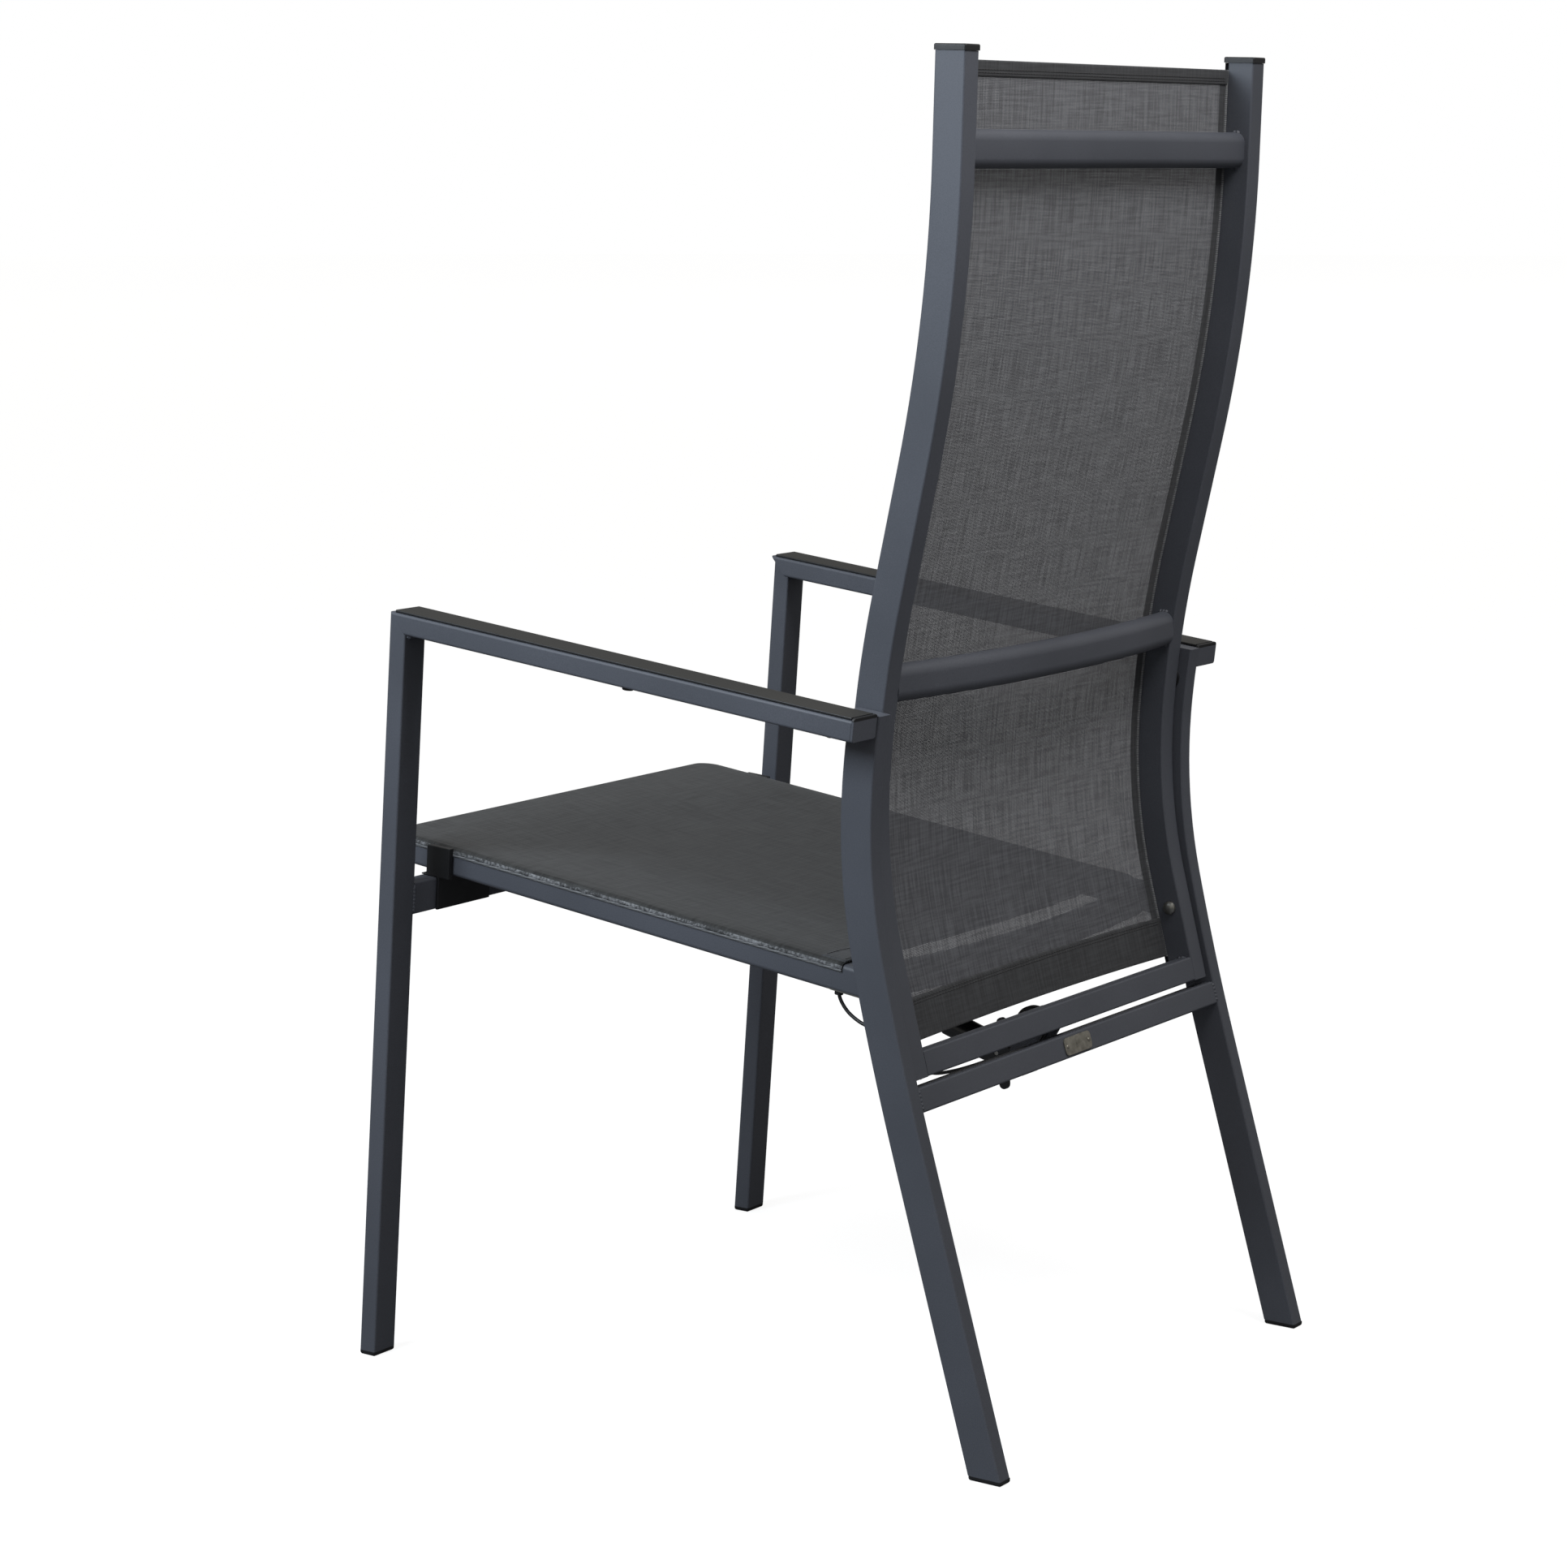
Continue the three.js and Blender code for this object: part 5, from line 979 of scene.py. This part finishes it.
# Seat frame: one length of rounded tube, bent round the front corners and cut off just ahead of the posts.
# Its values are given in the seat's own frame, which starts at the front edge and slopes down to the rear.
SEAT_PLACE, SEAT_SLOPE = Vector((0, -8.8, 453.8)), math.radians(7.18)
SEAT_HALF, RAIL_WIDTH, RAIL_HEIGHT, RAIL_CORNER, SEAT_BEND = 230.4, 20.0, 23.8, 4.0, 10.3
RAIL_TO_POST, RAIL_SPARE = 3.6, 20.0
in_seat = Matrix.Translation(SEAT_PLACE) @ Matrix.Rotation(-SEAT_SLOPE, 4, "X")
hinge_in_seat = in_seat.inverted() @ Vector((0, *hinge_at.yz))
post_at_hinge, hinge_lean = along_post(post_reach(hinge_at.z))
rail_mid, rail_x = -RAIL_HEIGHT / 2, SEAT_HALF - RAIL_WIDTH / 2
bend_x, bend_y = rail_x - SEAT_BEND, RAIL_WIDTH / 2 + SEAT_BEND
rear_y = hinge_in_seat.y + RAIL_SPARE


def seat_hoop(bm, x, level, rear, steps=12):
    """Carries a section forward, round both front corners and back along the other side."""
    bmesh.ops.rotate(bm, cent=(0, 0, 0), matrix=Matrix.Rotation(math.pi / 2, 3, "X"), verts=bm.verts)
    bmesh.ops.translate(bm, vec=(x, rear, level), verts=bm.verts)
    end = push(bm, bm.faces[:][0], (0, bend_y - rear, 0))
    for side, move in ((1, (-2 * bend_x, 0, 0)), (-1, (0, rear - bend_y, 0))):
        made = bmesh.ops.spin(bm, geom=[end], cent=(side * bend_x, bend_y, level), axis=(0, 0, -1),
                              angle=math.pi / 2, steps=steps)["geom_last"]
        end = push(bm, next(part for part in made if isinstance(part, bmesh.types.BMFace)), move)
    return bm


bm = seat_hoop(section(RAIL_WIDTH, RAIL_HEIGHT, RAIL_CORNER), rail_x, rail_mid, rear_y)
bmesh.ops.transform(bm, matrix=in_seat, verts=bm.verts)
trim(bm, post_at_hinge - rearward(hinge_lean) * (POST[1] / 2 + RAIL_TO_POST), rearward(hinge_lean))
piece("seat_hoop_tube", bm, anthracite, "seat", "frame", ["left_seat_rail", "right_seat_rail", "seat_front_bar"])

# Rear bar of the seat: flattened round tube that dips at its middle, clear of the sling, welded between the
# rails.
REAR_BAR, REAR_BAR_AHEAD, REAR_BAR_DIP, REAR_BAR_DROP = (15.0, 29.0), 31.0, 9.0, 2.0
bar_y, bar_half = hinge_in_seat.y - REAR_BAR_AHEAD, SEAT_HALF - RAIL_WIDTH
dip_radius = (bar_half ** 2 + REAR_BAR_DIP ** 2) / (2 * REAR_BAR_DIP)
dip_half = math.asin(bar_half / dip_radius)
bm = section(REAR_BAR[1], REAR_BAR[0], REAR_BAR[0] / 2 - OVAL_FLAT, 8)
bmesh.ops.rotate(bm, cent=(0, 0, 0), matrix=Matrix.Rotation(math.pi / 2, 3, "Y"), verts=bm.verts)
bmesh.ops.rotate(bm, cent=(0, 0, 0), matrix=Matrix.Rotation(dip_half, 3, "Y"), verts=bm.verts)
bmesh.ops.translate(bm, vec=(-bar_half, bar_y, rail_mid - REAR_BAR_DROP), verts=bm.verts)
bmesh.ops.spin(bm, geom=bm.faces[:], cent=(0, bar_y, rail_mid - REAR_BAR_DROP - REAR_BAR_DIP + dip_radius),
               axis=(0, -1, 0), angle=2 * dip_half, steps=24)
bmesh.ops.transform(bm, matrix=in_seat, verts=bm.verts)
piece("seat_rear_tube", bm, anthracite, "seat", "frame", ["seat_rear_bar"])

# Seat sling: the same mesh, closer woven, drawn over the hoop from side to side and over its front. Its yarns are
# drawn much darker than the back's: painted shade, for the dark underside seen through the weave. It sags a little
# inside the rails, and its edge turns down over their outer corners to the bead, drawn paler there: a painted
# highlight.
SLING_THICKNESS, SLING_LIFT = 1.1, 0.9
SEAT_MESH_RADIUS = RAIL_CORNER + SLING_LIFT
SAG, SAG_START, SAG_END = 5.0, 40.0, 150.0
CORNER_SHARE = 0.2
EDGE_STEPS, HIGHLIGHT_AFTER = 5, 3
SLING_TO_BAR, TURNED_DOWN = 10.0, 4.0
# The seat's yarns are far darker than the back's: painted shade, for the dark underside seen through the weave.
seat_mesh_painted_shade = mesh_cloth("coated_polyester_mesh_seat_painted_shade", "#0b0c0d", "#2f3030", 0.0, 0.9)
flat_radius = SEAT_BEND + RAIL_WIDTH / 2 - RAIL_CORNER
edge_y = bend_y - flat_radius
mesh_rear = bar_y - REAR_BAR[0] / 2 - SLING_TO_BAR


def seat_sag(x, y):
    """How far the sling hangs down inside the rails; it is taut at the front."""
    share = min(1, max(0, (y - SAG_START) / (SAG_END - SAG_START)))
    across = min(1, abs(x) / bar_half)
    return -SAG * (1 - across ** 2) * share * share * (3 - 2 * share)


def on_seat(u, v):
    """The flat top of the sling: rows close together round the front corners, then even to the rear."""
    if v < CORNER_SHARE:
        y = edge_y + flat_radius * (1 - math.cos(v / CORNER_SHARE * math.pi / 2))
    else:
        y = bend_y + (mesh_rear - bend_y) * (v - CORNER_SHARE) / (1 - CORNER_SHARE)
    ahead = max(0.0, bend_y - y)
    x = (bend_x + math.sqrt(max(0.0, flat_radius ** 2 - ahead ** 2))) * u
    return Vector((x, y, SLING_LIFT + seat_sag(x, y)))


def row_place(place):
    """A place in the chair's frame, in metres, back to millimetres from the front feet."""
    return place / MM - Vector((0, SETBACK, 0))


def thick(made, thickness):
    """Gives a laid sheet its thickness, half to each side."""
    layer = made.modifiers.new("thickness", "SOLIDIFY")
    layer.thickness, layer.offset, layer.use_even_offset = thickness * MM, 0, True


# The sling's turned-down edge is drawn pale: a painted highlight along the hoop's lit outer corner.
sling_edge_painted_highlight, tree = material("mesh_edge_painted_highlight")
place = node(tree, "ShaderNodeTexCoord")
fleck = node(tree, "ShaderNodeTexNoise", {"Vector": place.outputs["Object"]}, {"Scale": 420.0, "Detail": 2.0})
drift = node(tree, "ShaderNodeTexNoise", {"Vector": place.outputs["Object"]}, {"Scale": 22.0, "Detail": 2.0})
both = node(tree, "ShaderNodeMath", {0: fleck.outputs["Fac"], 1: drift.outputs["Fac"]}, operation="ADD")
share = node(tree, "ShaderNodeMapRange", {"Value": both.outputs[0]}, {"From Min": 0.85, "From Max": 1.25})
shade = node(tree, "ShaderNodeMix", {"Factor": share.outputs[0]}, {6: linear("#2b2c2d"), 7: linear("#85878a")},
             data_type="RGBA")
surface = node(tree, "ShaderNodeBsdfPrincipled", {"Base Color": shade.outputs[2]}, {"Roughness": 0.7, "IOR": 1.5})
node(tree, "ShaderNodeOutputMaterial", {"Surface": surface.outputs[0]})
bm = laid_grid(72, 80, on_seat)
rim = [edge for edge in bm.edges if edge.is_boundary and any(vert.co.y < mesh_rear - 0.01 for vert in edge.verts)]
# The outer steps of the turned-down edge take the pale material, as painted highlight.
for step in range(1, EDGE_STEPS + 1):
    made = bmesh.ops.extrude_edge_only(bm, edges=rim)["geom"]
    for face in (part for part in made if isinstance(part, bmesh.types.BMFace) and step > HIGHLIGHT_AFTER):
        face.material_index = 1
    rim = [part for part in made if isinstance(part, bmesh.types.BMEdge)
           and all(vert in made for vert in part.verts) and part.is_boundary]
    turn_from, turn_to = (step - 1) * math.pi / (2 * EDGE_STEPS), step * math.pi / (2 * EDGE_STEPS)
    for vert in (part for part in made if isinstance(part, bmesh.types.BMVert)):
        out = Vector((math.copysign(max(abs(vert.co.x) - bend_x, 0), vert.co.x), min(vert.co.y - bend_y, 0), 0))
        out = out.normalized() if out.length > 1e-6 else Vector((0, -1, 0))
        vert.co += out * (SEAT_MESH_RADIUS * (math.sin(turn_to) - math.sin(turn_from)))
        vert.co.z -= SEAT_MESH_RADIUS * (math.cos(turn_from) - math.cos(turn_to))
bmesh.ops.transform(bm, matrix=in_seat, verts=bm.verts)
sling = piece("seat_mesh_sling", bm, seat_mesh_painted_shade, "seat", "sling", ["seat_sling"], weighted=False)
sling.data.materials.append(sling_edge_painted_highlight)
cloth_map(sling, lambda p: p.x + math.copysign(min(0, (in_seat.inverted() @ row_place(p)).z), p.x) * -MM,
          lambda p: p.y)
thick(sling, SLING_THICKNESS)

# Edge bead of the seat: the sling's welded edge with its cord, in the groove along the hoop's outer corner.
# It is the pale line under the mesh, drawn pale as a painted highlight along the hoop's lit corner.
SEAT_BEAD, BEAD_OUT, BEAD_DOWN = 1.5, 0.2, 0.6
bm = bmesh.new()
bmesh.ops.create_circle(bm, cap_ends=True, segments=12, radius=SEAT_BEAD)
bm = seat_hoop(bm, SEAT_HALF + BEAD_OUT, -RAIL_CORNER - BEAD_DOWN, mesh_rear, 20)
bmesh.ops.transform(bm, matrix=in_seat, verts=bm.verts)
piece("seat_bead_cord", bm, bead_wrap_painted_highlight, "seat", "bead")

# Rear hem of the seat sling: turned over and sewn with two rows of the same thread. It spans between the rails
# just ahead of the rear bar.
SEAT_HEM, HEM_ROUNDING, HEM_STITCH_IN = 24.0, 1.2, 3.0


def on_seat_hem(u, v):
    """The hem's middle layer, with the sling's sag."""
    y = mesh_rear - SEAT_HEM * (1 - v)
    x = u * (SEAT_HALF - RAIL_CORNER)
    return Vector((x, y, SLING_LIFT + seat_sag(x, y)))


bm = laid_grid(60, 6, on_seat_hem)
bmesh.ops.transform(bm, matrix=in_seat, verts=bm.verts)
hem = piece("seat_rear_hem", bm, folded_mesh_painted_shade, "seat", "sling", weighted=False)
cloth_map(hem, lambda p: p.x, lambda p: p.y)
thick(hem, HEM_THICKNESS)
soft = hem.modifiers.new("folded_edge", "BEVEL")
soft.width, soft.segments, soft.limit_method = HEM_ROUNDING * MM, 3, "ANGLE"
bm = merged(*[stitch_row(lambda x, y=mesh_rear - back_off: Vector((x, y, SLING_LIFT + seat_sag(x, y))),
                         SEAT_HALF - RAIL_CORNER - STITCH_END, Vector((0, 0, HEM_THICKNESS / 2 + STITCH_PROUD)))
              for back_off in (HEM_STITCH_IN, SEAT_HEM - HEM_STITCH_IN)])
bmesh.ops.transform(bm, matrix=in_seat, verts=bm.verts)
piece("seat_hem_stitches", bm, bonded_thread, "seat", "sling")

# Gas spring: a black enamelled cylinder with a rolled-in gland, a hard-chromed rod, and a cast release head
# that holds the lever. The rear pin goes through the head, the front eye hangs on the base's bracket.
HEAD_LENGTH, COLLAR_LENGTH, ROD_VISIBLE, EYE_GAP = 42.0, 38.0, 118.0, 26.0
CYLINDER_RADIUS, ROD_RADIUS = 11.0, 5.0
HEAD_HALF, HEAD_SWELL, LEVER_BOSS, LEVER_CUT = 7.5, 4.0, 14.0, 4.5
spring_length = (SPRING_FRONT - SPRING_REAR).length
spring_rise = math.atan2(SPRING_FRONT.z - SPRING_REAR.z, SPRING_REAR.y - SPRING_FRONT.y)
in_spring = Matrix.Translation(SPRING_REAR) @ Matrix.Rotation(-spring_rise, 4, "X")
black_enamel, tree = material("baked_black_enamel")
place = node(tree, "ShaderNodeTexCoord")
flow = node(tree, "ShaderNodeTexNoise", {"Vector": place.outputs["Object"]}, {"Scale": 120.0, "Detail": 3.0})
shade = node(tree, "ShaderNodeMix", {"Factor": flow.outputs["Fac"]}, {6: linear("#101113"), 7: linear("#1d1e21")},
             data_type="RGBA")
rough = node(tree, "ShaderNodeMapRange", {"Value": flow.outputs["Fac"]}, {"To Min": 0.25, "To Max": 0.42})
surface = node(tree, "ShaderNodeBsdfPrincipled", {"Base Color": shade.outputs[2], "Roughness": rough.outputs[0]},
               {"IOR": 1.52, "Coat Weight": 0.2})
node(tree, "ShaderNodeOutputMaterial", {"Surface": surface.outputs[0]})
hard_chrome, tree = material("hard_chromed_rod")
place = node(tree, "ShaderNodeTexCoord")
polish = node(tree, "ShaderNodeTexNoise", {"Vector": place.outputs["Object"]}, {"Scale": 900.0, "Detail": 2.0})
rough = node(tree, "ShaderNodeMapRange", {"Value": polish.outputs["Fac"]}, {"To Min": 0.08, "To Max": 0.2})
surface = node(tree, "ShaderNodeBsdfPrincipled", {"Roughness": rough.outputs[0]},
               {"Base Color": linear("#c9cbcd"), "Metallic": 1.0})
node(tree, "ShaderNodeOutputMaterial", {"Surface": surface.outputs[0]})


def turned(profile, steps=40):
    """A turned piece about Y: the profile gives (distance along Y, radius) and starts and ends on the axis."""
    bm = bmesh.new()
    verts = [bm.verts.new((radius, along, 0)) for along, radius in profile]
    edges = [bm.edges.new(two) for two in zip(verts, verts[1:])]
    bmesh.ops.spin(bm, geom=verts + edges, cent=(0, 0, 0), axis=(0, 1, 0), angle=2 * math.pi, steps=steps,
                   use_merge=True)
    bmesh.ops.remove_doubles(bm, verts=bm.verts, dist=1e-4)
    return bm


gland = -HEAD_LENGTH - COLLAR_LENGTH - ROD_VISIBLE
front_end = -spring_length + EYE_GAP
wall = CYLINDER_RADIUS
bm = turned([(front_end, 0), (front_end, wall - 3), (front_end + 1, wall - 1.2), (front_end + 3, wall),
             (gland - 14, wall), (gland - 13, wall - 0.9), (gland - 11, wall - 0.9), (gland - 10, wall),
             (gland - 3, wall), (gland - 1, wall - 1.2), (gland, wall - 3), (gland, ROD_RADIUS + 0.2),
             (gland - 3, ROD_RADIUS + 0.2), (gland - 3, 0)])
bmesh.ops.transform(bm, matrix=in_spring, verts=bm.verts)
piece("gas_cylinder_tube", bm, black_enamel, "cylinder", "spring", ["gas_cylinder"])
rod_start, rod_end = -HEAD_LENGTH - COLLAR_LENGTH / 2, gland - 32
bm = turned([(rod_end, 0), (rod_end, ROD_RADIUS - 0.4), (rod_end + 0.4, ROD_RADIUS), (rod_start, ROD_RADIUS),
             (rod_start, 0)])
bmesh.ops.transform(bm, matrix=in_spring, verts=bm.verts)
piece("piston_rod_chromed", bm, hard_chrome, "rod", "steel", ["piston_rod"])
for name, body, slot, ease in (("release_head", "rod", "spring", 0.9), ("cylinder_eye", "cylinder", "spring", 0.7),
                               ("release_lever", "lever", "steel", 0.6)):
    bm = from_cad(name)
    for vert in bm.verts:
        own = in_spring.inverted() @ vert.co
        if name == "release_head":
            half = HEAD_HALF + HEAD_SWELL * min(1, max(0, -own.y / HEAD_LENGTH))
            own.z = math.copysign(min(abs(own.z), half + max(0, abs(own.z) - half) * 0.1), own.z)
            own.y = min(own.y, HEAD_HALF + (own.y - HEAD_HALF) * 0.1)
        elif name == "release_lever" and own.z > LEVER_BOSS:
            own.z -= LEVER_CUT
        vert.co = in_spring @ own
    eased(bm, ease, 3, 50)
    piece(name + "_cast", bm, black_enamel, body, slot, [name])
